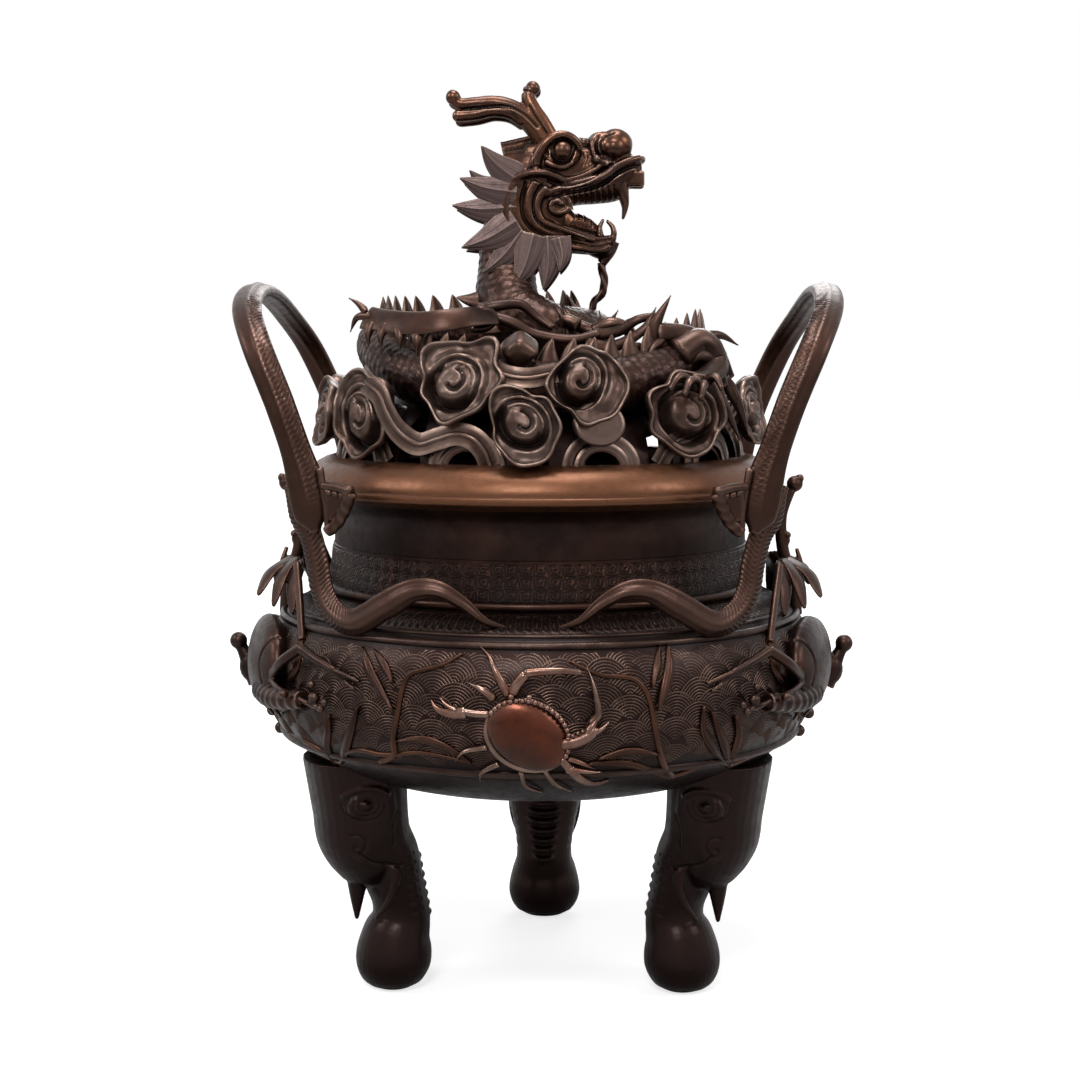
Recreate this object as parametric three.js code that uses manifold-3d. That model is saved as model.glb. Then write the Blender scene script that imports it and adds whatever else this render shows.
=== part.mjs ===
// Bronze tripod incense burner with elephant-head legs and a lift-off dragon lid.
// Millimetres, +Z up, front of the vessel towards -Y, origin on the vessel axis at floor level.
import * as THREE from 'three';
import { mergeVertices } from 'three/addons/utils/BufferGeometryUtils.js';
import Module from 'manifold-3d';

const wasm = await Module();
wasm.setup();

// Driving dimensions
const GAP = 0.3; // clearance between pieces that touch
const SEGMENTS = 30; // facets round the turned pieces
const BELLY_STEPS = 7; // facets down the belly curve
const SHOULDER_STEPS = 5; // facets up the shoulder curve
const DOME_SEGMENTS = 25;
const DOME_STEPS = 4; // facets up the lid

const BELLY_R = 150; // widest radius of the belly
const BELLY_Z = 165; // height of the widest ring
const BELLY_DEPTH = 61; // widest ring down to the floor of the bowl
const BELLY_POWER = 2.5; // squareness of the curve below the widest ring
const SHOULDER_RISE = 59; // full height of the curve above the widest ring
const SHOULDER_POWER = 3; // squareness of the shoulder curve
const BOWL_WALL = 5;
const SHOULDER_BEAD_INSET = 10; // bead round the shoulder, in from the widest ring
const LOW_VINE_DROP = 28; // raised band under the reeds, down from the widest ring
const BEAD = 2.2; // half width of a raised bead

const NECK_FOOT_R = 118; // outer radius where the neck stands on the bowl
const NECK_WAIST_IN = 6; // narrowest part of the neck, in from its foot
const NECK_WAIST_RISE = 78; // widest ring up to the narrowest part
const NECK_WALL = 8; // thickness of the neck at its narrowest
const SPIGOT_DEPTH = 7; // how far the neck reaches down into the bowl mouth
const SPIGOT_WALL = 5;

const LIP_R = 129; // outer radius of the everted lip
const LIP_EDGE_RISE = 100; // widest ring up to the lower edge of the lip
const LIP_EDGE = 3; // height of the plain edge of the lip
const LIP_RISE = 19; // lower edge of the lip up to its top
const SEAT_LEDGE = 7; // width of the ledge that the lid rests on
const SEAT_DEPTH = 7; // ledge down from the top of the lip

const LEG_INSET = 61; // circle through the feet, in from the widest ring
const LEG_ANGLES = { left: -60, right: 60, back: 180 }; // degrees from the front
const FOOT_FLAT_R = 9.5; // flat under each foot
const FOOT_R = 21; // half width of the foot bulb
const FOOT_Z = 15; // height of its widest point
const TRUNK_R = 15.5; // half width of the trunk at its thinnest
const TRUNK_Z = 42;
const HEAD_OUT = 20; // elephant heads, out from the circle through the feet
const HEAD_DROP = 73; // middle of the elephant heads, down from the widest ring
const HEAD_LENGTH = 24; // half size of the head outwards
const HEAD_WIDTH = 29; // half size of the head across
const HEAD_HEIGHT = 38; // half height of the head
const TUSK_R = 3.6;
const STUD_R = 5; // threaded stud on top of each leg
const STUD_OUT = 15; // studs, out from the circle through the feet
const STUD_TOP_DROP = 28; // top of the studs, down from the widest ring
const BOSS_R = 13; // boss inside the bowl under each nut
const BOSS_DROP = 39; // top of the bosses, down from the widest ring
const NUT_R = 10;
const NUT_HEIGHT = 8;

const HANDLE_LEAN = 37; // how far a loop leans out from the lip to its top
const HANDLE_RISE = 87; // top of the lip up to the top of a loop
const HANDLE_IN = 14; // middle of the strap beside the lip, in from the edge of the lip
const HANDLE_HALF_Y = 96; // half distance between the two sides of the loop
const STRAP_WIDTH = 15;
const STRAP_THICK = 8.5;

const VINE_INSET = 7; // vines, in from the widest ring
const VINE_AZ = 47; // degrees from the front to the upright part of a vine
const VINE_TIP_AZ = 6;
const VINE_WIDTH = 14;
const VINE_THICK = 6.5;
const VINE_CREST_RISE = 56; // widest ring up to the upper part of a vine's wave

const CRAB_DROP = 8; // middle of the crab, down from the widest ring
const CRAB_HALF_WIDTH = 19.5;
const CRAB_HALF_HEIGHT = 16;
const CRAB_PROUD = 7.4; // how far the shell stands out of the belly
const CRAB_SHELL = 6.5; // half thickness of the shell
const CRAB_LEG_R = 2.1;
const CLAW_LENGTH = 15;

const REED_AZ = 26; // degrees from the front to a reed stem
const REED_R = 2.6; // half width of a stem where it leaves the low band
const REED_LEAF = 5.6; // width of a leaf
const REED_SUNK = 1; // middle of a stem or leaf, in from the surface of the belly

const SHELL_AZ = 84; // degrees from the front to the middle of a crayfish
const SHELL_HALF = 20; // measure for the crayfish's shell and limbs
const TWIG_INSET = 9; // foot of the twig between the sides of each handle, in from the widest ring
const TWIG_OUT = 12; // top of the twig, out from the edge of the lip
const TWIG_FOOT_RISE = 34; // widest ring up to the foot of the twig
const TWIG_HEIGHT = 69;
const TWIG_R = 4.2;

const LID_CLEAR = 0.6; // running gap between the lid ring and the mouth
const LID_RING_HEIGHT = 5;
const LID_WALL = 4;
const DOME_HEIGHT = 52;
const ARCH_COUNT = 10; // smoke openings round the foot of the dome
const ARCH_WIDTH = 18;
const ARCH_TOP = 11; // height of an arch above the ring
const WINDOW_WIDTH = 15; // taller windows between the arches
const WINDOW_TOP = 24;
const VENT_R = 9; // round vents higher on the dome
const VENT_ANGLE = 0.98; // their place up the curve of the dome, in radians
const VENT_REACH = 30; // how far the cut for a vent reaches past the wall

const CLOUD_R = 20; // outer radius of a cloud scroll
const CLOUD_THICK = 5;
const CLOUD_LOBES = 5;
const STALK_R = 6.5; // stalk that carries a scroll

const COIL_R = 92; // radius of the dragon's coil over the clouds
const BODY_R = 13.5; // radius of the dragon's body
const TAIL_R = 3.5;
const NECK_R = 17;
const COIL_RISE = 41; // top of the lip up to the low parts of the coil
const COIL_CLIMB = 18; // low parts of the coil up to its high ones
const NECK_SIDE = 14; // dragon's neck, to the left of the axis
const SPIKE_HEIGHT = 13;
const SPIKE_COUNT = 24;

const CHEEK_RISE = 70; // high parts of the coil up to the middle of the cheeks
const HEAD_SIZE = 1; // growth of the whole head about the cheek
const CHEEK_X = -4;
const SKULL_HALF_WIDTH = 19;
const EYE_R = 5;
const NOSE_R = 8; // half height of the nose
const MANE_LEAVES = 8;
const MANE_TIP = 41;
const MANE_VALLEY = 25;
const MANE_THICK = 3;
const MANE_Y = 14.5;
const CHEEK_HALF = 17; // half size of a cheek
const HORN_Y = 7;
const HORN_R = 4.6;

// Sizes that follow from the ones above
const SHOULDER_BEAD_R = BELLY_R - SHOULDER_BEAD_INSET;
const LOW_VINE_Z = BELLY_Z - LOW_VINE_DROP;
const NECK_WAIST_R = NECK_FOOT_R - NECK_WAIST_IN;
const NECK_BORE_R = NECK_WAIST_R - NECK_WALL;
const NECK_WAIST_Z = BELLY_Z + NECK_WAIST_RISE;
const LIP_EDGE_Z = BELLY_Z + LIP_EDGE_RISE;
const LIP_TOP_Z = LIP_EDGE_Z + LIP_RISE;
const LIP_MOUTH_R = NECK_BORE_R - 2 + SEAT_LEDGE;
const SEAT_Z = LIP_TOP_Z - SEAT_DEPTH;
const LEG_R = BELLY_R - LEG_INSET;
const HEAD_R = LEG_R + HEAD_OUT;
const HEAD_Z = BELLY_Z - HEAD_DROP;
const STUD_TOP_Z = BELLY_Z - STUD_TOP_DROP;
const BOSS_Z = BELLY_Z - BOSS_DROP;
const STUD_RADIUS = LEG_R + STUD_OUT;
const HANDLE_LIP_X = LIP_R - HANDLE_IN;
const HANDLE_TOP_X = HANDLE_LIP_X + HANDLE_LEAN;
const HANDLE_TOP_Z = LIP_TOP_Z + HANDLE_RISE;
const VINE_R = BELLY_R - VINE_INSET;
const VINE_CREST_Z = BELLY_Z + VINE_CREST_RISE;
const CRAB_Z = BELLY_Z - CRAB_DROP;
const TWIG_FOOT_Z = BELLY_Z + TWIG_FOOT_RISE;
const TWIG_FOOT_X = BELLY_R - TWIG_INSET;
const TWIG_TOP_X = LIP_R + TWIG_OUT;
const TWIG_TOP_Z = TWIG_FOOT_Z + TWIG_HEIGHT;
const COIL_LOW_Z = LIP_TOP_Z + COIL_RISE;
const COIL_HIGH_Z = COIL_LOW_Z + COIL_CLIMB;
const NECK_X = -NECK_SIDE;
const HEAD_BASE_Z = COIL_HIGH_Z + CHEEK_RISE;

// Finishes
const bronze = new THREE.MeshStandardMaterial({ color: 0x3a211b, roughness: 0.42, metalness: 0.75 });
const rubbed = new THREE.MeshStandardMaterial({ color: 0x5f3a28, roughness: 0.32, metalness: 0.85 });
const dark = new THREE.MeshStandardMaterial({ color: 0x1f1311, roughness: 0.5, metalness: 0.7 });

const burner = new THREE.Group();
const Z_AXIS = new THREE.Vector3(0, 0, 1);
const rad = THREE.MathUtils.degToRad;
const vec = (x, y, z) => new THREE.Vector3(x, y, z);

// A point at an angle from the front, a distance from the axis and a height
function polar(degrees, r, z) {
  return vec(r * Math.sin(rad(degrees)), -r * Math.cos(rad(degrees)), z);
}

// A closed three.js geometry as a solid
function solid(geometry) {
  const plain = geometry.index ? geometry.toNonIndexed() : geometry.clone();
  plain.deleteAttribute('normal');
  plain.deleteAttribute('uv');
  const merged = mergeVertices(plain, 1e-4);
  const made = new wasm.Manifold(new wasm.Mesh({
    numProp: 3,
    vertProperties: new Float32Array(merged.attributes.position.array),
    triVerts: new Uint32Array(merged.index.array),
  }));
  return made.volume() < 0 ? flipped(merged) : made;
}

function flipped(merged) {
  const index = new Uint32Array(merged.index.array).reverse();
  return new wasm.Manifold(new wasm.Mesh({
    numProp: 3,
    vertProperties: new Float32Array(merged.attributes.position.array),
    triVerts: index,
  }));
}

// A solid as a named piece of the burner
function piece(name, body, material) {
  const data = body.getMesh();
  const geometry = new THREE.BufferGeometry();
  geometry.setAttribute('position', new THREE.BufferAttribute(new Float32Array(data.vertProperties), 3));
  geometry.setIndex(new THREE.BufferAttribute(new Uint32Array(data.triVerts), 1));
  geometry.computeVertexNormals();
  const mesh = new THREE.Mesh(geometry, material);
  mesh.name = name;
  burner.add(mesh);
}

const join = (parts) => parts.reduce((sum, part) => sum.add(part));

// A profile of [radius, height] points turned round the vessel axis
function turned(profile, segments = SEGMENTS) {
  const geometry = new THREE.LatheGeometry(profile.map(([r, z]) => new THREE.Vector2(r, z)), segments);
  return solid(geometry.rotateX(Math.PI / 2));
}

// Rings of equal count skinned into a closed body
function loft(rings) {
  const count = rings[0].length;
  const points = rings.flat();
  const faces = [];
  for (let ring = 0; ring < rings.length - 1; ring += 1) {
    for (let side = 0; side < count; side += 1) {
      const a = ring * count + side;
      const b = ring * count + (side + 1) % count;
      faces.push(a, b, a + count, b, b + count, a + count);
    }
  }
  for (const [ring, forward] of [[0, false], [rings.length - 1, true]]) {
    const centre = rings[ring].reduce((sum, p) => sum.add(p), vec(0, 0, 0)).divideScalar(count);
    points.push(centre);
    for (let side = 0; side < count; side += 1) {
      const a = ring * count + side;
      const b = ring * count + (side + 1) % count;
      faces.push(...(forward ? [a, b, points.length - 1] : [b, a, points.length - 1]));
    }
  }
  const geometry = new THREE.BufferGeometry().setFromPoints(points);
  geometry.setIndex(faces);
  return solid(geometry);
}

// An oval section carried along a curve: half(t) gives its half sizes towards and across facing(t)
function sweep(curve, steps, sides, half, facing) {
  const rings = [];
  for (let step = 0; step <= steps; step += 1) {
    const t = step / steps;
    const centre = curve.getPointAt(t);
    const along = curve.getTangentAt(t);
    const reference = facing(t, centre);
    const out = reference.clone().addScaledVector(along, -reference.dot(along)).normalize();
    const across = along.clone().cross(out);
    const [towards, sideways] = half(t);
    rings.push(Array.from({ length: sides }, (_, side) => {
      const turn = (2 * Math.PI * side) / sides;
      return centre.clone()
        .addScaledVector(out, towards * Math.cos(turn))
        .addScaledVector(across, sideways * Math.sin(turn));
    }));
  }
  return loft(rings);
}

// A round limb through points that tapers from one radius to another
function limb(points, startR, endR, steps = 8, sides = 6, facing = () => vec(0.3, 0.2, 1)) {
  const curve = new THREE.CatmullRomCurve3(points, false, 'centripetal');
  const half = (t) => {
    const r = startR + (endR - startR) * t;
    return [r, r];
  };
  return sweep(curve, steps, sides, half, facing);
}

function ball(centre, r, sides = 8) {
  const geometry = new THREE.SphereGeometry(r, sides, Math.max(4, Math.ceil(sides / 2)));
  return solid(geometry).translate(centre.toArray());
}

// A ball stretched to three half sizes and turned to stand on a direction
function pebble(centre, sizes, outward, spin = 0, sides = 12) {
  const geometry = new THREE.SphereGeometry(1, sides, sides / 2);
  geometry.scale(...sizes);
  geometry.rotateZ(spin);
  geometry.applyQuaternion(new THREE.Quaternion().setFromRotationMatrix(standing(outward)));
  geometry.translate(centre.x, centre.y, centre.z);
  return solid(geometry);
}

// Axes for a piece that lies on a surface: x level, y up the surface, z outward
function standing(outward) {
  const out = outward.clone().normalize();
  const level = Z_AXIS.clone().cross(out).normalize();
  return new THREE.Matrix4().makeBasis(level, out.clone().cross(level), out);
}

// A flat outline given a thickness and laid at a place, facing outward
function plate(shape, thick, centre, outward, spin = 0, bevel = 0) {
  const geometry = new THREE.ExtrudeGeometry(shape, {
    depth: thick - 2 * bevel,
    bevelEnabled: bevel > 0,
    bevelSize: bevel,
    bevelThickness: bevel,
    bevelSegments: 1,
    curveSegments: 2,
  });
  geometry.translate(0, 0, bevel - thick / 2);
  geometry.rotateZ(spin);
  geometry.applyMatrix4(standing(outward));
  geometry.translate(centre.x, centre.y, centre.z);
  return solid(geometry);
}

// Belly curve: the outer radius and height for an angle below or above the widest ring
function bellyPoint(angle, shift = 0) {
  const lower = angle < 0;
  const power = lower ? BELLY_POWER : SHOULDER_POWER;
  const rise = (lower ? BELLY_DEPTH : SHOULDER_RISE) + shift;
  const r = (BELLY_R + shift) * Math.abs(Math.cos(angle)) ** (2 / power);
  const z = BELLY_Z + Math.sign(angle) * rise * Math.abs(Math.sin(angle)) ** (2 / power);
  return [angle === -Math.PI / 2 ? 0 : r, z];
}

// Outer radius of the belly at a height
function bellyRadius(z, shift = 0) {
  const lower = z < BELLY_Z;
  const power = lower ? BELLY_POWER : SHOULDER_POWER;
  const rise = (lower ? BELLY_DEPTH : SHOULDER_RISE) + shift;
  return (BELLY_R + shift) * (1 - Math.min(1, Math.abs(z - BELLY_Z) / rise) ** power) ** (1 / power);
}

// Height of the belly curve above the widest ring at a radius
function shoulderHeight(r, shift = 0) {
  const share = (r / (BELLY_R + shift)) ** SHOULDER_POWER;
  return BELLY_Z + (SHOULDER_RISE + shift) * (1 - share) ** (1 / SHOULDER_POWER);
}

const MOUTH_Z = shoulderHeight(NECK_FOOT_R); // flat top of the bowl
const SPIGOT_R = NECK_BORE_R + SPIGOT_WALL;
const BEAD_Z = shoulderHeight(SHOULDER_BEAD_R);

// A point on the belly at an angle from the front and a height, lifted off the surface
function onBelly(degrees, z, lift = 0) {
  return polar(degrees, bellyRadius(z) + lift, z);
}

// A half-round bead on a profile
function beadPoints(r, z, lean) {
  return [-1, 0, 1].map((step) => {
    const proud = step === 0 ? BEAD : 0.3;
    return [r + proud * Math.cos(lean) - step * BEAD * Math.sin(lean),
      z + proud * Math.sin(lean) + step * BEAD * Math.cos(lean)];
  });
}

// The belly curve from the axis up to the mouth, as profile points
function bellyProfile(shift, lowSteps, highSteps, beads) {
  const profile = [];
  for (let step = 0; step <= lowSteps; step += 1) {
    profile.push(bellyPoint(-(Math.PI / 2) * (1 - step / lowSteps), shift));
  }
  const topR = NECK_FOOT_R + shift;
  const topAngle = Math.acos((topR / (BELLY_R + shift)) ** (SHOULDER_POWER / 2));
  for (let step = 1; step <= highSteps; step += 1) {
    profile.push(bellyPoint((topAngle * step) / highSteps, shift));
  }
  if (!beads) return profile;
  const clear = profile.filter(([r, z]) => (
    Math.hypot(r - SHOULDER_BEAD_R, z - BEAD_Z) > 2 * BEAD
    && Math.hypot(r - bellyRadius(LOW_VINE_Z), z - LOW_VINE_Z) > 2 * BEAD));
  const low = beadPoints(bellyRadius(LOW_VINE_Z), LOW_VINE_Z, -0.8);
  const rings = [...low, ...beadPoints(SHOULDER_BEAD_R, BEAD_Z, 0.8)];
  return [...clear, ...rings].sort((p, q) => profileOrder(p) - profileOrder(q));
}

// Order of points along the belly curve, from the axis out and up
function profileOrder([r, z]) {
  return Math.atan2(z - BELLY_Z, r);
}

// Everything inside the outer surface of the bowl, grown by a clearance
function bowlEnvelope(clearance) {
  const outline = bellyProfile(clearance, BELLY_STEPS, SHOULDER_STEPS, true);
  const top = outline[outline.length - 1];
  return turned([...outline, [top[0], MOUTH_Z + 2 * GAP], [0, MOUTH_Z + 2 * GAP], outline[0]]);
}

// One reed stem: it climbs the belly from the low band and leans over under the shoulder bead
function reedStem(azimuth, lean) {
  const at = (degrees, z) => onBelly(azimuth + degrees * lean, z, -REED_SUNK);
  const points = [
    at(5, LOW_VINE_Z - 1),
    at(1, LOW_VINE_Z + 7),
    at(-1, BELLY_Z - 3),
    at(-3, BELLY_Z + 13),
    at(-8, BEAD_Z - 12),
    at(-15, BEAD_Z - 5),
  ];
  return limb(points, REED_R, 0.65 * REED_R, 8, 4);
}

// Leaves beside a stem: degrees and height of the root, then of the tip, with heights as shares of the way
// from the low band to the shoulder bead
const REED_LEAVES = [
  [9.5, 0.95, 0.5, 0.48],
  [20, -0.1, 9, 0.48],
  [21, -0.1, 15.5, 0.38],
  [0, 0.24, -8, 0.16],
  [32, 1, 30, 0.55],
];

// A flat leaf that lies on the belly
function reedLeaf(rootAz, rootShare, tipAz, tipShare) {
  const along = (share) => {
    const height = rootShare + (tipShare - rootShare) * share;
    const z = LOW_VINE_Z + height * (BEAD_Z - LOW_VINE_Z);
    return onBelly(rootAz + (tipAz - rootAz) * share, z, -REED_SUNK);
  };
  const curve = new THREE.CatmullRomCurve3([0, 0.33, 0.67, 1].map(along), false, 'centripetal');
  const half = (t) => [2.4, 0.6 + (REED_LEAF / 2) * Math.sin(Math.PI * (0.1 + 0.8 * t))];
  return sweep(curve, 4, 4, half, (t, centre) => vec(centre.x, centre.y, 0).normalize());
}

function makeBowl() {
  const outer = bellyProfile(0, BELLY_STEPS, SHOULDER_STEPS, true);
  const inner = bellyProfile(-BOWL_WALL, BELLY_STEPS - 3, SHOULDER_STEPS - 3, false).reverse();
  const mouthR = SPIGOT_R + GAP;
  const rim = [[NECK_FOOT_R, MOUTH_Z], [mouthR, MOUTH_Z]];
  const inside = inner.filter(([r, z]) => z < MOUTH_Z - SPIGOT_DEPTH - 1);
  const wallTop = [mouthR, MOUTH_Z - SPIGOT_DEPTH - 2 * GAP];
  let bowl = turned([...outer.slice(0, -1), ...rim, wallTop, ...inside, outer[0]]);
  const bores = [];
  for (const angle of Object.values(LEG_ANGLES)) {
    bowl = bowl.add(legPost(angle, BOSS_R, BOSS_Z - 9, BOSS_Z, 10).subtract(bowlOutside()));
    bores.push(legPost(angle, STUD_R + GAP, BOSS_Z - 26, BOSS_Z + 5));
  }
  for (const turn of [0, 180]) {
    for (const side of [-1, 1]) {
      bowl = bowl.add(reedStem(turn + side * REED_AZ, side));
      for (const [rootAz, rootShare, tipAz, tipShare] of REED_LEAVES) {
        const root = turn + side * (REED_AZ + rootAz);
        bowl = bowl.add(reedLeaf(root, rootShare, turn + side * (REED_AZ + tipAz), tipShare));
      }
    }
  }
  piece('bowl', bores.reduce((rest, bore) => rest.subtract(bore), bowl), bronze);
}

// A large block with the bowl's outer shape taken out of it
function bowlOutside() {
  const size = 4 * BELLY_R;
  return solid(new THREE.BoxGeometry(size, size, size)).subtract(bowlEnvelope(-1));
}

// An upright post on the line through a leg's stud
function legPost(angle, r, low, high, sides = 8) {
  return post(vec(STUD_RADIUS, 0, 0), r, low, high, sides).rotate([0, 0, angle - 90]);
}

// An upright round post
function post(at, r, low, high, sides = 12) {
  const geometry = new THREE.CylinderGeometry(r, r, high - low, sides);
  geometry.rotateX(Math.PI / 2);
  geometry.translate(at.x, at.y, (low + high) / 2);
  return solid(geometry);
}

function makeNeck() {
  const foot = MOUTH_Z + GAP;
  const outer = [
    [SPIGOT_R, foot - SPIGOT_DEPTH],
    [SPIGOT_R, foot],
    [NECK_FOOT_R, foot],
    [NECK_FOOT_R + BEAD, foot + BEAD],
    [NECK_FOOT_R - 1, foot + 2 * BEAD],
    [NECK_WAIST_R + 1.5, NECK_WAIST_Z - 16],
    [NECK_WAIST_R, NECK_WAIST_Z],
    [NECK_WAIST_R + 6, LIP_EDGE_Z - 5],
    [LIP_R - 4, LIP_EDGE_Z - 1],
    [LIP_R, LIP_EDGE_Z],
    [LIP_R, LIP_EDGE_Z + LIP_EDGE],
    [LIP_R - 3, LIP_EDGE_Z + LIP_EDGE + 5],
    [LIP_R - 9, LIP_TOP_Z - 4],
    [LIP_MOUTH_R + 5, LIP_TOP_Z],
    [LIP_MOUTH_R, LIP_TOP_Z],
  ];
  const inner = [
    [LIP_MOUTH_R, SEAT_Z],
    [NECK_BORE_R - 2, SEAT_Z],
    [NECK_BORE_R, SEAT_Z - 14],
    [NECK_BORE_R, foot - SPIGOT_DEPTH],
  ];
  piece('neck', turned([...outer, ...inner, outer[0]]), bronze);
}

// Leg outline: an oval station at a height, centred on a radius, with half sizes out and across
function legLoft(stations, steps, sides = 9) {
  const smooth = (points) => new THREE.CatmullRomCurve3(points, false, 'centripetal');
  const centre = smooth(stations.map(([z, r]) => vec(r, 0, z)));
  const size = smooth(stations.map(([, , out, across]) => vec(out, across, 0)));
  const rings = [];
  for (let step = 0; step <= steps; step += 1) {
    const at = centre.getPoint(step / steps);
    const half = size.getPoint(step / steps);
    rings.push(Array.from({ length: sides }, (_, side) => {
      const turn = (2 * Math.PI * side) / sides;
      return vec(at.x + half.x * Math.cos(turn), half.y * Math.sin(turn), at.z);
    }));
  }
  return loft(rings);
}

// An elephant head whose trunk is the leg: local x points away from the vessel axis
function elephant() {
  const trunk = legLoft([
    [0, LEG_R, FOOT_FLAT_R, FOOT_FLAT_R + 1],
    [5, LEG_R + 0.5, 15, 16.5],
    [FOOT_Z, LEG_R + 1, FOOT_R - 2, FOOT_R],
    [28, LEG_R, 14.5, FOOT_R - 1.5],
    [TRUNK_Z, LEG_R - 1, TRUNK_R - 4.5, TRUNK_R + 1],
    [HEAD_Z - 32, LEG_R, TRUNK_R - 2.5, TRUNK_R + 4],
    [HEAD_Z - 7, LEG_R + 7, 17, TRUNK_R + 9],
    [HEAD_Z + 33, LEG_R + 8, 18, HEAD_WIDTH],
  ], 10);
  const head = legLoft([
    [HEAD_Z - HEAD_HEIGHT, HEAD_R - 12, 5, 9],
    [HEAD_Z - 0.75 * HEAD_HEIGHT, HEAD_R - 6, HEAD_LENGTH - 8, HEAD_WIDTH - 11],
    [HEAD_Z - 0.35 * HEAD_HEIGHT, HEAD_R - 1, HEAD_LENGTH, HEAD_WIDTH - 3],
    [HEAD_Z + 5, HEAD_R, HEAD_LENGTH, HEAD_WIDTH],
    [HEAD_Z + HEAD_HEIGHT, HEAD_R + 4, HEAD_LENGTH + 1, HEAD_WIDTH + 2],
  ], 6, 10);
  const lip = limb([
    vec(HEAD_R + 2, 0, HEAD_Z - 20),
    vec(HEAD_R - 3, 0, HEAD_Z - 36),
    vec(HEAD_R - 4, 0, HEAD_Z - 51),
  ], 10, 0.8, 3, 5, () => vec(1, 0, 0));
  const parts = [trunk, head, lip];
  for (const side of [-1, 1]) {
    parts.push(limb([
      vec(HEAD_R - 9, side * 17, HEAD_Z - 18),
      vec(HEAD_R - 12, side * 19, HEAD_Z - 32),
      vec(HEAD_R - 11, side * 17.5, HEAD_Z - 45),
      vec(HEAD_R - 4, side * 15, HEAD_Z - 54),
    ], TUSK_R, 1.2, 4, 5, () => vec(1, 0, 0)));
    const ear = vec(HEAD_R + 8, side * 24, HEAD_Z - 3);
    parts.push(pebble(ear, [10, 13, 4.5], vec(0.3, side, 0), side * 0.3, 6));
  }
  return join(parts);
}

function makeLegs() {
  const shape = elephant();
  const floor = bowlEnvelope(GAP);
  for (const [name, angle] of Object.entries(LEG_ANGLES)) {
    const cast = keepLargest(shape.rotate([0, 0, angle - 90]).subtract(floor));
    piece(`leg_${name}`, cast.add(legPost(angle, STUD_R, HEAD_Z, STUD_TOP_Z)), bronze);
    const nut = legPost(angle, NUT_R, BOSS_Z + GAP, BOSS_Z + GAP + NUT_HEIGHT, 6);
    piece(`leg_nut_${name}`, nut.subtract(legPost(angle, STUD_R + GAP, BOSS_Z, STUD_TOP_Z)), dark);
  }
}

// The biggest of the bodies that a cut leaves
function keepLargest(body) {
  return body.decompose().reduce((best, part) => (part.volume() > best.volume() ? part : best));
}

// Middle line of a handle strap from the front tip over the top to the back tip
function strapCurve(side) {
  const half = [
    vec(HANDLE_LIP_X - 20, -HANDLE_HALF_Y - 4, LIP_EDGE_Z - 18),
    vec(HANDLE_LIP_X - 10, -HANDLE_HALF_Y - 3, LIP_EDGE_Z - 2),
    vec(HANDLE_LIP_X, -HANDLE_HALF_Y, LIP_TOP_Z + 2),
    vec(HANDLE_LIP_X + 11, -HANDLE_HALF_Y, LIP_TOP_Z + 30),
    vec(HANDLE_LIP_X + 24, -HANDLE_HALF_Y + 7, LIP_TOP_Z + 58),
    vec(HANDLE_TOP_X - 4, -HANDLE_HALF_Y / 2 - 18, HANDLE_TOP_Z - 11),
    vec(HANDLE_TOP_X, -HANDLE_HALF_Y / 4, HANDLE_TOP_Z),
  ];
  const back = half.map((p) => vec(p.x, -p.y, p.z)).reverse();
  const loop = [...half, ...back].map((p) => vec(side * p.x, p.y, p.z));
  return new THREE.CatmullRomCurve3(loop, false, 'centripetal');
}

function strap(side, grow) {
  const taper = (t) => Math.min(1, 0.12 + 7.5 * Math.min(t, 1 - t));
  const half = (t) => [(STRAP_WIDTH / 2) * taper(t) + grow, (STRAP_THICK / 2) * taper(t) + grow];
  return sweep(strapCurve(side), 24, 6, half, () => vec(side, 0, 0));
}

// Middle line of a vine: from behind the loop's foot down beside the neck, then along the shoulder to its tip
function vineCurve(side, back) {
  const points = [
    [VINE_AZ + 10, VINE_R + 5, TWIG_TOP_Z + 4],
    [VINE_AZ + 7.5, VINE_R + 4, TWIG_TOP_Z - 10],
    [VINE_AZ + 5, VINE_R + 1, NECK_WAIST_Z + 5],
    [VINE_AZ + 3, VINE_R, NECK_WAIST_Z - 9],
    [VINE_AZ + 1.5, VINE_R, VINE_CREST_Z],
    [VINE_AZ - 2, VINE_R, BEAD_Z + 12],
    [VINE_AZ - 8.5, VINE_R, BEAD_Z + 7.5],
    [VINE_AZ - 16.5, VINE_R - 1, VINE_CREST_Z - 5],
    [VINE_AZ - 23, VINE_R - 2, VINE_CREST_Z + 3.5],
    [VINE_AZ - 28, VINE_R - 4, VINE_CREST_Z + 4],
    [VINE_AZ - 32.5, VINE_R - 7, VINE_CREST_Z - 2],
    [VINE_AZ - 37, VINE_R - 11, BEAD_Z + 11],
    [VINE_TIP_AZ, SHOULDER_BEAD_R - 11, BEAD_Z + 7.5],
  ];
  const placed = points.map(([az, r, z]) => {
    const p = polar(side * az, r, z);
    return back ? vec(p.x, -p.y, p.z) : p;
  });
  return new THREE.CatmullRomCurve3(placed, false, 'centripetal');
}

function vine(side, back) {
  const half = (t) => {
    const taper = t > 0.65 ? 1 - 0.85 * (t - 0.65) / 0.35 : 1;
    return [(VINE_THICK / 2) * taper, (VINE_WIDTH / 2) * taper * (t < 0.08 ? 0.6 : 1)];
  };
  const forward = (t, centre) => vec(0.45 * centre.x, centre.y, 0).normalize();
  return sweep(vineCurve(side, back), 20, 5, half, forward);
}

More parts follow.
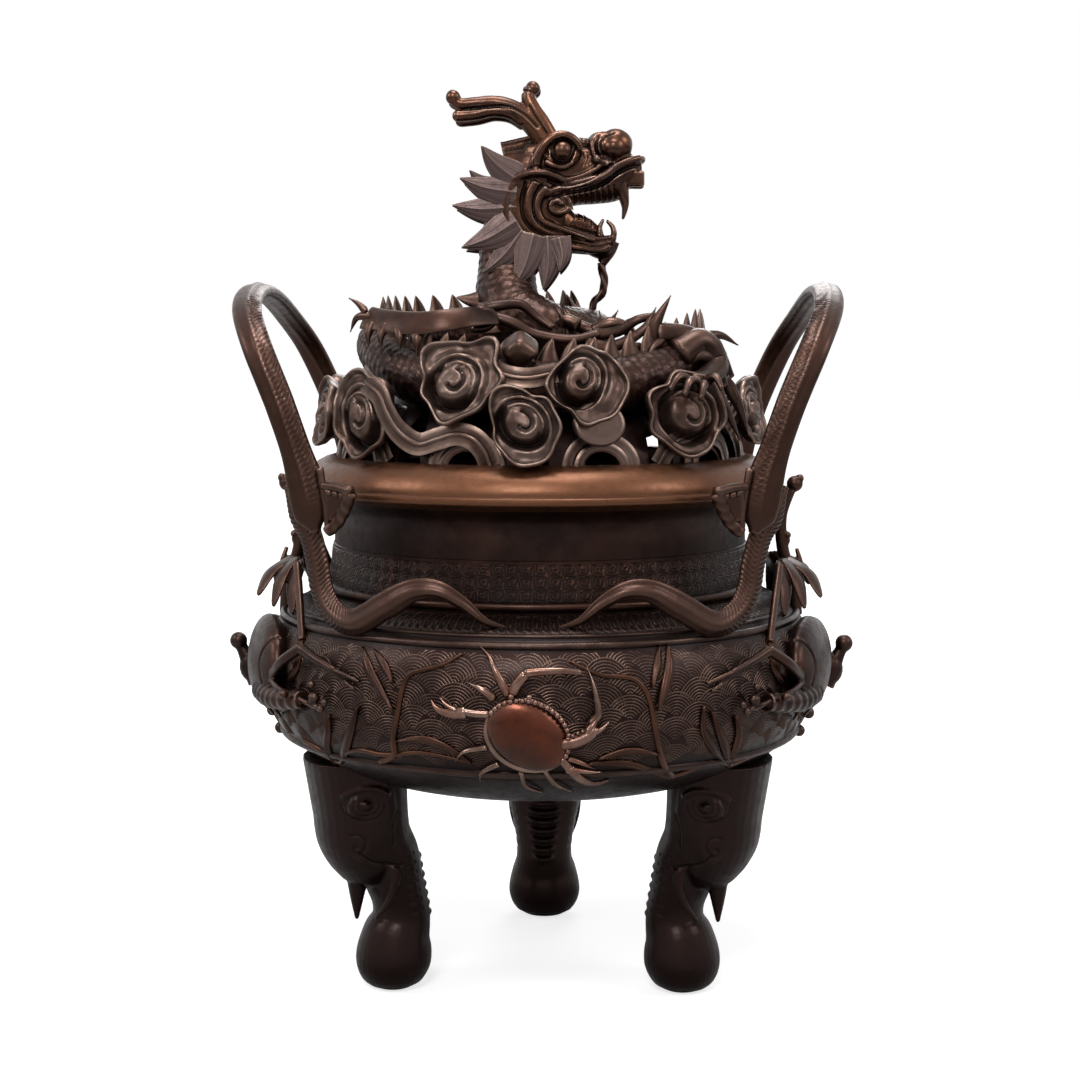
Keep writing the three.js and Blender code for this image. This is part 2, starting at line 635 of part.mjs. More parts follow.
// The short twig that ties a handle tip to the underside of the lip
function clasp(side, front) {
  const root = polar(side * 45.4, LIP_R - 3, LIP_EDGE_Z - 1);
  const low = vec(side * (HANDLE_LIP_X - 17), -HANDLE_HALF_Y - 4, LIP_EDGE_Z - 14);
  const middle = root.clone().lerp(low, 0.5).add(vec(0, 1, -1));
  const body = limb([root, middle, low], 3.4, 3, 2, 5, () => vec(1, 0, 0));
  return front ? body : body.mirror([0, 1, 0]);
}

function makeHandles() {
  const bowl = bowlEnvelope(GAP);
  const neck = neckEnvelope(GAP);
  for (const [name, side] of [['left', -1], ['right', 1]]) {
    piece(`handle_${name}`, strap(side, 0), bronze);
    const clear = strap(side, GAP);
    for (const [end, back] of [['front', false], ['back', true]]) {
      const ribbon = vine(side, back).subtract(bowl).subtract(neck).subtract(clear);
      piece(`vine_${end}_${name}`, keepLargest(ribbon), bronze);
      const tie = clasp(side, !back).subtract(neck).subtract(clear);
      piece(`clasp_${end}_${name}`, keepLargest(tie), bronze);
    }
  }
}

// Everything inside the outer surface of the neck and lip, grown by a clearance
function neckEnvelope(clearance) {
  return turned([
    [0, MOUTH_Z],
    [NECK_FOOT_R + BEAD + clearance, MOUTH_Z],
    [NECK_FOOT_R + BEAD + clearance, MOUTH_Z + 2 * BEAD + 1],
    [NECK_WAIST_R + 3 + clearance, NECK_WAIST_Z - 16],
    [NECK_WAIST_R + 1 + clearance, NECK_WAIST_Z],
    [NECK_WAIST_R + 7 + clearance, LIP_EDGE_Z - 5 - clearance],
    [LIP_R - 3.8, LIP_EDGE_Z - 1 - clearance],
    [LIP_R + clearance, LIP_EDGE_Z - clearance],
    [LIP_R + clearance, LIP_EDGE_Z + LIP_EDGE + clearance],
    [LIP_R - 3 + clearance, LIP_EDGE_Z + LIP_EDGE + 5 + clearance],
    [LIP_R - 9 + clearance, LIP_TOP_Z - 4 + clearance],
    [LIP_MOUTH_R + 5, LIP_TOP_Z + clearance],
    [0, LIP_TOP_Z + clearance],
    [0, MOUTH_Z],
  ]);
}

// A point on the belly beside the crab: across, up and lift as shares of the shell's half width
function besideCrab([across, up, lift]) {
  const degrees = THREE.MathUtils.radToDeg((across * CRAB_HALF_WIDTH) / BELLY_R);
  return onBelly(degrees, CRAB_Z + up * CRAB_HALF_WIDTH, lift * CRAB_HALF_WIDTH);
}

function makeCrab() {
  const out = polar(0, 1, 0);
  const shellAt = onBelly(-0.5, CRAB_Z, CRAB_PROUD - CRAB_SHELL);
  const parts = [pebble(shellAt, [CRAB_HALF_WIDTH, CRAB_HALF_HEIGHT, CRAB_SHELL], out, -0.35, 10)];
  const legs = [
    [[-0.54, 0.56, 0.1], [-0.94, 1.18, 0.26], [-1.28, 1.79, 0.08]],
    [[-0.81, 0.31, 0.1], [-1.48, 0.87, 0.23], [-2.15, 0.82, 0.05]],
    [[-0.94, -0.26, 0.1], [-1.61, -0.51, 0.21], [-2.01, -0.82, 0.08]],
    [[-0.54, -0.56, 0.1], [-1.07, -1.03, 0.15], [-1.61, -1.28, 0.05]],
    [[0.27, 0.62, 0.1], [0.54, 1.64, 0.26], [1.21, 1.49, 0.08]],
    [[0.81, 0.21, 0.1], [1.48, 0.77, 0.26], [1.48, 1.59, 0.08]],
    [[0.81, -0.26, 0.1], [1.61, -0.21, 0.23], [2.15, -0.56, 0.08]],
    [[0.13, -0.62, 0.1], [0.4, -1.13, 0.15], [1.07, -1.44, 0.05]],
  ];
  for (const points of legs) parts.push(limb(points.map(besideCrab), CRAB_LEG_R, 0.45 * CRAB_LEG_R, 3, 4));
  const claws = [
    [[-0.67, 0.05, 0.15], [-1.61, 0.15, 0.26], [-2.28, 0.36, 0.15], -0.9],
    [[0.54, -0.51, 0.15], [1.07, -0.82, 0.26], [1.61, -1.08, 0.15], 0.7],
  ];
  for (const [root, knee, grip, spin] of claws) {
    parts.push(limb([root, knee, grip].map(besideCrab), 1.5 * CRAB_LEG_R, 1.2 * CRAB_LEG_R, 2, 4));
    const claw = [1.7 * CRAB_LEG_R, CLAW_LENGTH / 2, 1.4 * CRAB_LEG_R];
    parts.push(pebble(besideCrab(grip), claw, out, spin, 6));
  }
  const crab = join(parts).subtract(bowlEnvelope(GAP));
  piece('crab', keepLargest(crab), rubbed);
}

// A point beside a crayfish: back, up and lift as shares of its measure
function besideShell(side, back, up, lift) {
  const degrees = SHELL_AZ + THREE.MathUtils.radToDeg((back * SHELL_HALF) / BELLY_R);
  return onBelly(side * degrees, BELLY_Z + up * SHELL_HALF, lift * SHELL_HALF);
}

// A crayfish that climbs the side of the belly, its head and arms towards the front
function makeCrayfish() {
  const bowl = bowlEnvelope(GAP);
  for (const [name, side] of [['left', -1], ['right', 1]]) {
    const at = (back, up, lift) => besideShell(side, back, up, lift);
    const size = (...shares) => shares.map((share) => share * SHELL_HALF);
    const parts = [
      pebble(at(-1.3, 0.8, 0.05), size(1.6, 1, 0.47), polar(side * (SHELL_AZ - 10), 1, 0.3), 0, 12),
      pebble(at(0.3, 0.55, 0.05), size(1.1, 1, 0.45), polar(side * (SHELL_AZ + 2), 1, 0.2), 0, 8),
      pebble(at(1.75, 0.3, 0.1), size(0.75, 0.85, 0.4), polar(side * (SHELL_AZ + 13), 1, 0.1), 0, 8),
      pebble(at(2.75, -0.5, 0.1), size(0.6, 0.65, 0.325), polar(side * (SHELL_AZ + 21), 1, 0), 0, 8),
      limb([at(-1.83, 0.35, 0.15), at(-2.62, -0.05, 0.3), at(-3.67, -0.1, 0.3)], ...size(0.325, 0.23), 3, 6),
      limb([at(-3.53, -0.1, 0.3), at(-4.32, 0.1, 0.3), at(-4.84, 0.25, 0.15)], ...size(0.2, 0.07), 3, 5),
      limb([at(-3.67, -0.15, 0.3), at(-4.32, -0.25, 0.3), at(-4.71, -0.2, 0.15)], ...size(0.17, 0.06), 3, 5),
      limb([at(-2.88, 0.7, 0.2), at(-3.67, 1.1, 0.35), at(-4.22, 1.42, 0.38)], ...size(0.13, 0.12), 2, 5),
      limb([at(-4.22, 1.42, 0.38), at(-4.98, 1.3, 0.3), at(-5.63, 1.15, 0.15)], ...size(0.12, 0.08), 3, 5),
      limb([at(-0.52, -0.25, 0.15), at(-1.05, -0.85, 0.25), at(-1.83, -1.3, 0.1)], ...size(0.13, 0.06), 3, 4),
      limb([at(1.05, -0.35, 0.15), at(1.05, -0.95, 0.25), at(0.52, -1.4, 0.1)], ...size(0.13, 0.06), 3, 4),
      limb([at(0.52, 0.55, 0.45), at(0.65, 0.35, 0.8), at(0.65, 0.5, 1)], ...size(0.14, 0.11), 2, 5),
      ball(at(0.65, 0.55, 1), 0.23 * SHELL_HALF, 6),
      pebble(at(0.79, -0.25, 0.5), size(0.3, 0.45, 0.35), polar(side * 90, 1, 0), 0, 6),
    ];
    const body = join(parts).subtract(bowl);
    piece(`crayfish_${name}`, keepLargest(body), bronze);
  }
}

// The twig with knobs and a leaf between the two sides of each handle
function makeTwigs() {
  const bowl = bowlEnvelope(GAP);
  for (const [name, side] of [['left', -1], ['right', 1]]) {
    const at = (dx, y, share) => {
      const x = TWIG_FOOT_X + share * (TWIG_TOP_X - TWIG_FOOT_X) + dx;
      return vec(side * x, y, TWIG_FOOT_Z + share * TWIG_HEIGHT);
    };
    const leaf = new THREE.Shape();
    leaf.moveTo(0, -15);
    leaf.quadraticCurveTo(12, -6, 0, 17);
    leaf.quadraticCurveTo(-12, -6, 0, -15);
    const parts = [
      limb([at(-1, -3, 0), at(1, -2, 0.22), at(-1, 0, 0.54), at(-4, -2, 0.77), at(-1, -2, 1)],
        TWIG_R, 0.67 * TWIG_R, 6, 4),
      ball(at(-1, -2, 1), 1.1 * TWIG_R, 5),
      ball(at(-1, -1, 0.55), TWIG_R, 5),
      plate(leaf, 3, at(8, -4, 0.2), vec(side, -0.35, 0.9)),
    ];
    piece(`twig_${name}`, keepLargest(join(parts).subtract(bowl)), bronze);
  }
}

// Dome curve of the lid: radius and height for an angle above its ring
const RING_R = LIP_MOUTH_R - LID_CLEAR;
const RING_Z = SEAT_Z + GAP;
const DOME_Z = RING_Z + LID_RING_HEIGHT;
function domePoint(angle, shift = 0) {
  return [(RING_R + shift) * Math.cos(angle), DOME_Z + (DOME_HEIGHT + shift) * Math.sin(angle)];
}

function domeProfile(shift, steps) {
  const points = [];
  for (let step = 0; step <= steps; step += 1) {
    const [r, z] = domePoint((Math.PI / 2) * (step / steps), shift);
    points.push([step === steps ? 0 : r, z]);
  }
  return points;
}

// Everything under the outer surface of the dome, grown by a clearance
function domeEnvelope(clearance) {
  const outline = domeProfile(clearance, DOME_STEPS);
  return turned([[0, RING_Z], [RING_R + clearance, RING_Z], ...outline, [0, RING_Z]], DOME_SEGMENTS);
}

// The radial point of the dome at a height, lifted outwards
function onDome(degrees, angle, lift) {
  const [r, z] = domePoint(angle, lift);
  return polar(degrees, r, z);
}

// An arch-headed cut through the foot of the dome
function archCut(azimuth, width, top) {
  const shape = new THREE.Shape();
  shape.moveTo(-width / 2, 0);
  shape.lineTo(width / 2, 0);
  shape.bezierCurveTo(width / 2, 0.8 * top, width / 4, top, 0, top);
  shape.bezierCurveTo(-width / 4, top, -width / 2, 0.8 * top, -width / 2, 0);
  return plate(shape, 2 * VENT_REACH, polar(azimuth, RING_R, DOME_Z + 1), polar(azimuth, 1, 0));
}

function makeDome() {
  const outer = domeProfile(0, DOME_STEPS);
  const inner = domeProfile(-LID_WALL, DOME_STEPS).reverse();
  const foot = [[RING_R - LID_WALL - 4, RING_Z], [RING_R, RING_Z]];
  let dome = turned([...foot, ...outer, ...inner, foot[0]], DOME_SEGMENTS);
  for (let count = 0; count < ARCH_COUNT; count += 1) {
    const azimuth = (360 / ARCH_COUNT) * count;
    dome = dome.subtract(archCut(azimuth + 180 / ARCH_COUNT, ARCH_WIDTH, ARCH_TOP));
    dome = dome.subtract(archCut(azimuth, WINDOW_WIDTH, WINDOW_TOP));
    const vent = post(vec(0, 0, 0), VENT_R, -VENT_REACH, VENT_REACH, 6);
    const place = onDome(azimuth, VENT_ANGLE, 0);
    const tilt = new THREE.Matrix4().makeTranslation(place.x, place.y, place.z)
      .multiply(standing(polar(azimuth, 1, 1.4)));
    dome = dome.subtract(vent.transform(tilt.toArray()));
  }
  piece('lid_dome', dome, bronze);
}

// Rings of one scroll from its back to the tip of its whorl: [share of the radius, waviness, height]
const SCROLL_RINGS = [
  [0.72, 0.05, -CLOUD_THICK / 2],
  [1, 0.09, 0],
  [0.86, 0.08, 1.6],
  [0.6, 0.03, -0.6],
  [0.42, 0, 3.4],
  [0.14, 0, CLOUD_THICK],
];

// One scroll: a wavy saucer with a raised whorl, on a stalk that reaches the dome
function cloud(az, r, z, size, spin, tilt, swing, clear) {
  const out = polar(az + swing, 1, tilt).normalize();
  const place = polar(az, r, z);
  const axes = standing(out);
  const saucer = loft(SCROLL_RINGS.map(([share, wave, height]) => (
    Array.from({ length: 2 * CLOUD_LOBES }, (_, side) => {
      const turn = (Math.PI * side) / CLOUD_LOBES + spin;
      const reach = CLOUD_R * size * share * (1 + (side % 2 ? -wave : 0));
      const lean = share < 0.5 ? 0.12 * CLOUD_R : 0;
      return vec(reach * Math.cos(turn) + lean, reach * Math.sin(turn), height).applyMatrix4(axes).add(place);
    }))));
  const stalk = limb([place, place.clone().addScaledVector(out, -14), polar(az, 60, z - 12)],
    STALK_R, STALK_R, 1, 5, () => Z_AXIS.clone());
  return keepLargest(clear.reduce((rest, cutter) => rest.subtract(cutter), saucer.add(stalk)));
}

// Scrolls in sequence round the lid: angle from the front, reach out from the middle of the coil, share of the
// dome's height, size, lean back and swing to the side
const SCROLLS = [
  [-80, 25, 0.49, 0.85, 0.2, 10],
  [-48, 24, 0.52, 1.02, 0.15, 13],
  [-20, 17, 0.82, 1.03, 0.35, 0],
  [-2, 29, 0.44, 0.96, 0.1, 0],
  [14, 20, 0.76, 0.98, 0.3, 0],
  [41, 24, 0.52, 1.08, 0.15, -12],
  [75, 25, 0.51, 0.85, 0.2, -10],
];

function makeClouds() {
  const dome = domeEnvelope(GAP);
  const rim = neckEnvelope(GAP + LID_CLEAR);
  const beast = dragonBody(GAP);
  let number = 0;
  for (const turn of [0, 180]) {
    for (const [az, out, rise, size, tilt, swing] of SCROLLS) {
      number += 1;
      const z = DOME_Z + rise * DOME_HEIGHT;
      const shape = cloud(az + turn, COIL_R + out, z, size, number * 1.3, tilt, swing, [dome, rim, beast]);
      piece(`cloud_${String(number).padStart(2, '0')}`, shape, bronze);
    }
  }
}

// Middle line of the dragon: tail behind, once round the lid, inwards and up the neck
function dragonCurve() {
  const points = [
    polar(165, COIL_R - 22, COIL_LOW_Z + 4),
    polar(140, COIL_R - 16, COIL_LOW_Z + 5),
    polar(105, COIL_R - 6, COIL_LOW_Z + 8),
    polar(76, COIL_R - 4, COIL_HIGH_Z - 5),
    polar(48, COIL_R - 1, COIL_LOW_Z + 5),
    polar(20, COIL_R, COIL_LOW_Z - 3),
    polar(-10, COIL_R, COIL_LOW_Z - 3),
    polar(-42, COIL_R - 1, COIL_LOW_Z + 2),
    polar(-76, COIL_R - 6, COIL_HIGH_Z),
    polar(-115, COIL_R - 16, COIL_HIGH_Z + 3),
    polar(-155, COIL_R - 36, COIL_HIGH_Z + 5),
    polar(160, COIL_R - 60, COIL_HIGH_Z + 6),
    polar(90, COIL_R - 66, COIL_HIGH_Z + 5),
    vec(NECK_X + 20, -20, COIL_HIGH_Z + 6),
    vec(NECK_X - 1, -12, COIL_HIGH_Z + 18),
    vec(NECK_X - 4, -2, COIL_HIGH_Z + 40),
    vec(NECK_X - 2, 0, HEAD_BASE_Z - 8),
    vec(NECK_X + 8, 0, HEAD_BASE_Z + 8),
  ];
  return new THREE.CatmullRomCurve3(points, false, 'centripetal');
}

const NECK_START = 0.83; // share of the dragon's length where the neck starts to rise

// The ridge of the back: up along the coil, and behind the neck where it rises
function ridge(t) {
  const rise = THREE.MathUtils.smoothstep(t, NECK_START - 0.06, NECK_START + 0.05);
  return vec(-rise, -0.35 * rise, 1 - rise).normalize();
}

function dragonRadius(t) {
  const tail = THREE.MathUtils.smoothstep(t, 0, 0.22);
  const neck = THREE.MathUtils.smoothstep(t, 0.78, 0.9);
  return TAIL_R + (BODY_R - TAIL_R) * tail + (NECK_R - BODY_R) * neck;
}

function dragonBody(grow) {
  return sweep(dragonCurve(), 44, 8, (t) => [dragonRadius(t) + grow, dragonRadius(t) + grow], ridge);
}

// A fin of the dragon's ridge
function spike(t, scale) {
  const curve = dragonCurve();
  const along = curve.getTangentAt(t);
  const reference = ridge(t);
  const up = reference.clone().addScaledVector(along, -reference.dot(along)).normalize();
  const across = along.clone().cross(up);
  const height = SPIKE_HEIGHT * scale;
  const shape = new THREE.Shape();
  shape.moveTo(-0.5 * height, -3);
  shape.lineTo(0.5 * height, -3);
  shape.lineTo(-0.22 * height, height);
  const geometry = new THREE.ExtrudeGeometry(shape, { depth: 2.6, bevelEnabled: false });
  geometry.translate(0, dragonRadius(t), -1.3);
  geometry.applyMatrix4(new THREE.Matrix4().makeBasis(along.clone().negate(), up, across.clone().negate()));
  const at = curve.getPointAt(t);
  geometry.translate(at.x, at.y, at.z);
  return solid(geometry);
}

function makeDragon() {
  let body = dragonBody(0);
  for (let count = 0; count < SPIKE_COUNT; count += 1) {
    const t = 0.1 + (0.83 * count) / SPIKE_COUNT;
    body = body.add(spike(t, 1));
  }
  body = body.subtract(domeEnvelope(GAP));
  piece('dragon_body', keepLargest(body), bronze);
}

// A point of the head, from the middle of the cheek
function inHead(x, y, z) {
  return vec(HEAD_SIZE * x, HEAD_SIZE * y, HEAD_BASE_Z + HEAD_SIZE * z);
}

// A squarish form through stations along the head: [x, top, bottom, half width], grown by a clearance
function headLoft(stations, grow, sides = 10, power = 0.8) {
  return loft(stations.map(([x, top, bottom, wide], index) => Array.from({ length: sides }, (_, side) => {
    const turn = (2 * Math.PI * side) / sides;
    const c = Math.cos(turn);
    const s = Math.sin(turn);
    const end = index === 0 ? -grow : 0;
    const y = (HEAD_SIZE * wide + grow) * Math.sign(c) * Math.abs(c) ** power;
    const half = (HEAD_SIZE * (top - bottom)) / 2 + grow;
    const point = inHead(x, 0, (top + bottom) / 2);
    return vec(point.x + end, y, point.z + half * Math.sign(s) * Math.abs(s) ** power);
  })));
}

function skullForm(grow) {
  const wide = SKULL_HALF_WIDTH;
  return headLoft([
    [-22, 37, 12, wide - 7],
    [-12, 39, 2, wide - 2],
    [4, 41, 2, wide],
    [15, 42, 4, wide - 1],
    [25, 38, 5.5, wide - 5],
    [34, 40, 6, wide - 6],
    [43, 45, 8, wide - 5],
    [50, 38, 14, wide - 8],
    [56, 31, 19, wide - 12],
  ], grow);
}

function jawForm(grow) {
  return headLoft([
    [13, -2, -19, 8],
    [19, -2.5, -20, 9],
    [28, -8, -21.5, 9],
    [35, -11, -24, 7.5],
    [41, -12, -18, 4],
  ], grow);
}

function cheekForms(grow) {
  const half = HEAD_SIZE * CHEEK_HALF + grow;
  return [-1, 1].map((side) => (
    pebble(inHead(CHEEK_X, side * 11, 1), [half, half, HEAD_SIZE * 7 + grow], vec(0, side, 0), 0, 10)));
}

// A tooth or fang: a limb through points of the head, from a thick root to a point
function tooth(points, r) {
  return limb(points.map((point) => inHead(...point)), HEAD_SIZE * r, HEAD_SIZE * 0.7, 3, 6, () => vec(1, 0, 0));
}

function makeHead() {
  const wide = SKULL_HALF_WIDTH;
  const size = (...sizes) => sizes.map((value) => HEAD_SIZE * value);
  const parts = [skullForm(0), ...cheekForms(0)];
  for (const side of [-1, 1]) {
    parts.push(pebble(inHead(13, side * (wide - 5), 31), size(10, 10.5, 6), vec(0.1, side, 0.15), 0, 8));
    parts.push(ball(inHead(12.5, side * wide, 32.5), HEAD_SIZE * EYE_R, 6));
    parts.push(pebble(inHead(38.5, side * (wide - 10.5), 36), size(11, NOSE_R, NOSE_R), vec(0.1, side, 0), 0, 8));
    parts.push(tooth([[44, side * 8, 16], [46, side * 8, 7], [45, side * 7.5, -1]], 4));
    parts.push(pebble(inHead(50, side * 6, 18), size(6, 6, 3), vec(0.4, side, 0), 0.4, 6));
  }
  const head = join(parts).subtract(dragonBody(GAP));
  piece('dragon_head', keepLargest(head), rubbed);

  const teeth = [-1, 1].map((side) => tooth([[36, side * 4.5, -13], [35, side * 4.5, -2]], 2.6));
  const skullClear = head.translate([GAP, 0, -GAP]);
  piece('dragon_jaw', keepLargest(join([jawForm(0), ...teeth]).subtract(skullClear).subtract(head)), rubbed);

  const beard = limb([
    inHead(33, 0, -24.5).add(vec(0, 0, -GAP)),
    inHead(35, 0, -36),
    inHead(29.5, 0, -47),
    inHead(31, 0, -62),
  ], HEAD_SIZE * 2.4, HEAD_SIZE * 1.8, 7, 5, () => vec(1, 0, 0));
  const hanging = beard.subtract(jawForm(0).translate([0, 0, -GAP])).subtract(dragonBody(GAP));
  piece('dragon_beard', keepLargest(hanging), bronze);
}

// The fan of pointed leaves round a cheek
function maneShape() {
  const shape = new THREE.Shape();
  const start = rad(112);
  const step = rad(24);
  const reach = (angle, r) => [HEAD_SIZE * r * Math.cos(angle), HEAD_SIZE * r * Math.sin(angle)];
  shape.moveTo(...reach(start, MANE_VALLEY - 4));
  for (let leaf = 0; leaf < MANE_LEAVES; leaf += 1) {
    const middle = start + (leaf + 0.5) * step;
    const tip = reach(middle + 0.03, MANE_TIP);
    shape.quadraticCurveTo(...reach(middle - 0.24, MANE_VALLEY + 9), ...tip);
    shape.quadraticCurveTo(...reach(middle + 0.24, MANE_VALLEY + 7), ...reach(middle + step / 2, MANE_VALLEY));
  }
  shape.lineTo(0, 0);
  return shape;
}

function makeMane() {
  const head = keepHead();
  for (const [name, side] of [['near', -1], ['far', 1]]) {
    const at = inHead(CHEEK_X, side * MANE_Y, 0);
    const geometry = new THREE.ExtrudeGeometry(maneShape(), {
      depth: MANE_THICK,
      bevelEnabled: false,
      curveSegments: 2,
    });
    geometry.translate(0, 0, -MANE_THICK / 2);
    geometry.rotateX(Math.PI / 2);
    geometry.translate(at.x, at.y, at.z);
    const fan = solid(geometry).subtract(head).subtract(dragonBody(GAP));
    piece(`dragon_mane_${name}`, keepLargest(fan), bronze);
  }
}

// The head, cheeks and jaw grown by the clearance, as one blunt shape
function keepHead() {
  return join([skullForm(GAP), ...cheekForms(GAP), jawForm(GAP)]);
}

function makeHorns() {
  const head = keepHead();
  const behind = () => vec(0.4, 0, 1);
  for (const [name, side] of [['near', -1], ['far', 1]]) {
    const at = (x, spread, z) => inHead(x, side * (HORN_Y + spread), z);
    const horn = (points, startR, endR, steps, sides) => (
      limb(points, HEAD_SIZE * startR, HEAD_SIZE * endR, steps, sides, behind));
    const parts = [
      horn([at(3, 0, 36), at(-8, 1, 52), at(-22, 2, 59), at(-36, 3, 58.5), at(-47, 3, 61)], HORN_R, 2.6, 6, 5),
      horn([at(-25, 2, 57.5), at(-34, 4, 52), at(-45, 5, 51)], 3, 1.6, 3, 4),
      horn([at(7, 0, 38), at(-2, 0, 53), at(-7, 0, 61), at(-5, 0, 67)], 3.8, 3.2, 3, 5),
      ball(at(-47.5, 3, 62), HEAD_SIZE * 4, 5),
      ball(at(-5, 0, 67), HEAD_SIZE * 4.2, 5),
    ];
    piece(`dragon_horn_${name}`, keepLargest(join(parts).subtract(head)), rubbed);
  }
}

makeBowl();
makeNeck();
makeLegs();
makeHandles();
makeCrab();
makeCrayfish();
makeTwigs();
makeDome();
makeClouds();
makeDragon();
makeHead();
makeMane();
makeHorns();

export default burner;
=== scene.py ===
"""Bronze tripod incense burner: every surface of it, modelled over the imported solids.

Shapes are worked out in millimetres in the frame of the solids, +Z up and the front towards -Y,
and each finished piece is brought to metres.
"""
from math import acos, asin, atan2, cos, degrees, exp, hypot, pi, radians, remainder, sin

import bmesh
import bpy
from mathutils import Matrix, Vector, noise
from mathutils.bvhtree import BVHTree
from mathutils.kdtree import KDTree


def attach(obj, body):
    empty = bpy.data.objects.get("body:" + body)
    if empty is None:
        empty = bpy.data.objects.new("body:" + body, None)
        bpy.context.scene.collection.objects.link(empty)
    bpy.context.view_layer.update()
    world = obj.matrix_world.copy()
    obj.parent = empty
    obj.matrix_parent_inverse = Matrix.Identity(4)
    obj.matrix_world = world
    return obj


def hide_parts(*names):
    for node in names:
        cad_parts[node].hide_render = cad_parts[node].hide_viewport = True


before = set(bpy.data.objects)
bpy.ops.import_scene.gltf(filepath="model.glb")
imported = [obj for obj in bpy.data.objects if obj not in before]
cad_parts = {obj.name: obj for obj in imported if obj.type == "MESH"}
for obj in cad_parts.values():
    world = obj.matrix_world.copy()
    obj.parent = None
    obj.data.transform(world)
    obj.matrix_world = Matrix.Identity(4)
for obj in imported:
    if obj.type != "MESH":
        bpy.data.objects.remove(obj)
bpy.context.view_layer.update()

bl_info = {
    "name": "Tripod incense burner",
    "version": (1, 0, 0),
    "blender": (4, 5, 0),
    "location": "View3D > Sidebar > Burner",
    "description": "Models the chased surfaces of a bronze tripod incense burner with a dragon lid",
    "category": "Object",
}

UP = Vector((0, 0, 1))
SIDES = (("left", -1), ("right", 1))
FLANKS = (("near", -1), ("far", 1))
LEGS = (("left", -60), ("right", 60), ("back", 180))


# Sizes and colours

def length(name, description, default):
    return bpy.props.FloatProperty(name=name, description=description, default=default,
                                   subtype="DISTANCE", unit="LENGTH", precision=4)


def tint(name, description, default):
    return bpy.props.FloatVectorProperty(name=name, description=description, default=default,
        subtype="COLOR", size=3, min=0, max=1)


class BurnerVesselSizes(bpy.types.PropertyGroup):
    belly_radius: length("Belly radius", "Widest radius of the belly", 0.150)
    belly_height: length("Belly height", "Height of the widest ring", 0.165)
    belly_depth: length("Belly depth", "Widest ring down to the floor of the bowl", 0.061)
    shoulder_rise: length("Shoulder rise", "Full height of the curve above the widest ring", 0.059)
    wall: length("Wall", "Thickness of the bowl", 0.005)
    bead_radius: length("Shoulder bead", "Radius of the bead round the shoulder", 0.140)
    band_height: length("Low band", "Height of the raised band under the reeds", 0.137)
    neck_foot: length("Neck foot", "Outer radius where the neck stands on the bowl", 0.118)
    neck_waist: length("Neck waist", "Narrowest outer radius of the neck", 0.112)
    neck_bore: length("Neck bore", "Inner radius of the neck", 0.104)
    waist_height: length("Waist height", "Height of the narrowest part of the neck", 0.243)
    lip_radius: length("Lip radius", "Outer radius of the everted lip", 0.129)
    lip_edge: length("Lip edge height", "Lower edge of the lip", 0.265)
    lip_top: length("Lip top height", "Top of the lip", 0.284)
    mouth: length("Mouth radius", "Radius of the mouth over the ledge for the lid", 0.109)
    seat: length("Seat height", "Height of the ledge for the lid", 0.277)
    leg_circle: length("Leg circle", "Radius of the circle through the feet", 0.089)
    strap_width: length("Strap width", "Width of a handle strap", 0.015)
    strap_thick: length("Strap thickness", "Thickness of a handle strap", 0.0085)
    vine_width: length("Vine width", "Width of a vine ribbon", 0.014)
    wave: length("Wave size", "Radius of a wave of the ground pattern", 0.012)


class BurnerLidSizes(bpy.types.PropertyGroup):
    ring_radius: length("Ring radius", "Radius of the ring that sits in the mouth", 0.1084)
    ring_height: length("Ring height", "Underside of the ring", 0.2773)
    dome_height: length("Dome height", "Rise of the dome over its ring", 0.052)
    dome_wall: length("Dome wall", "Thickness of the dome", 0.004)
    cloud: length("Cloud radius", "Outer radius of a cloud scroll", 0.020)
    coil: length("Coil radius", "Radius of the dragon's coil", 0.092)
    body: length("Body radius", "Radius of the dragon's body", 0.0135)
    neck: length("Neck radius", "Radius of the dragon's neck", 0.017)
    head_height: length("Cheek height", "Height of the middle of the cheek", 0.413)
    skull: length("Skull half width", "Half width of the skull", 0.019)


class BurnerFinishes(bpy.types.PropertyGroup):
    dark: tint("Dark patina", "Red-brown patina of the belly and the legs", (0.012, 0.0045, 0.0035))
    brown: tint("Brown patina", "Patina of the handles and the head", (0.038, 0.0165, 0.011))
    grey: tint("Dry patina", "Greyish patina of the clouds and the scales", (0.092, 0.060, 0.049))
    ash: tint("Ashen patina", "Pale greyish patina of the manes", (0.085, 0.056, 0.052))
    red: tint("Red shell", "Rubbed red-brown shell of the crab", (0.085, 0.020, 0.009))
    warm: tint("Warm bronze", "Rubbed bronze of the lip and the crab", (0.105, 0.042, 0.020))
    # Edge colour: bronze bared along the edges, and a painted highlight on them as well.
    worn_and_highlit: tint("Worn edge", "Bronze that shows along worn edges", (0.20, 0.12, 0.088))
    # Ridge colour: bronze bared along the ridges, and a painted highlight on the ridges of the
    # crab, the clouds, the head and the manes as well.
    pale: tint("Rubbed ridge", "Pale bronze along the ridges of the clouds and the head",
               (0.36, 0.25, 0.20))
    # Soot colour: soot and wax in the hollows and in dark flecks, and painted shade in the hollows
    # and in the grooves of the bands as well.
    soot_and_shade: tint("Recess", "Soot and wax in the hollows", (0.003, 0.0014, 0.0011))
    floor: tint("Floor", "Pale floor and backdrop", (0.55, 0.55, 0.55))


def mm(name):
    scene = bpy.context.scene
    group = scene.burner_vessel if hasattr(scene.burner_vessel, name) else scene.burner_lid
    return getattr(group, name) * 1000


# Curves and frames

def polar(azimuth, radius, height):
    turn = radians(azimuth)
    return Vector((radius * sin(turn), -radius * cos(turn), height))


def stud_place(azimuth, height):
    """On the axis of the stud of a leg."""
    return polar(azimuth, mm("leg_circle") + 15, height)


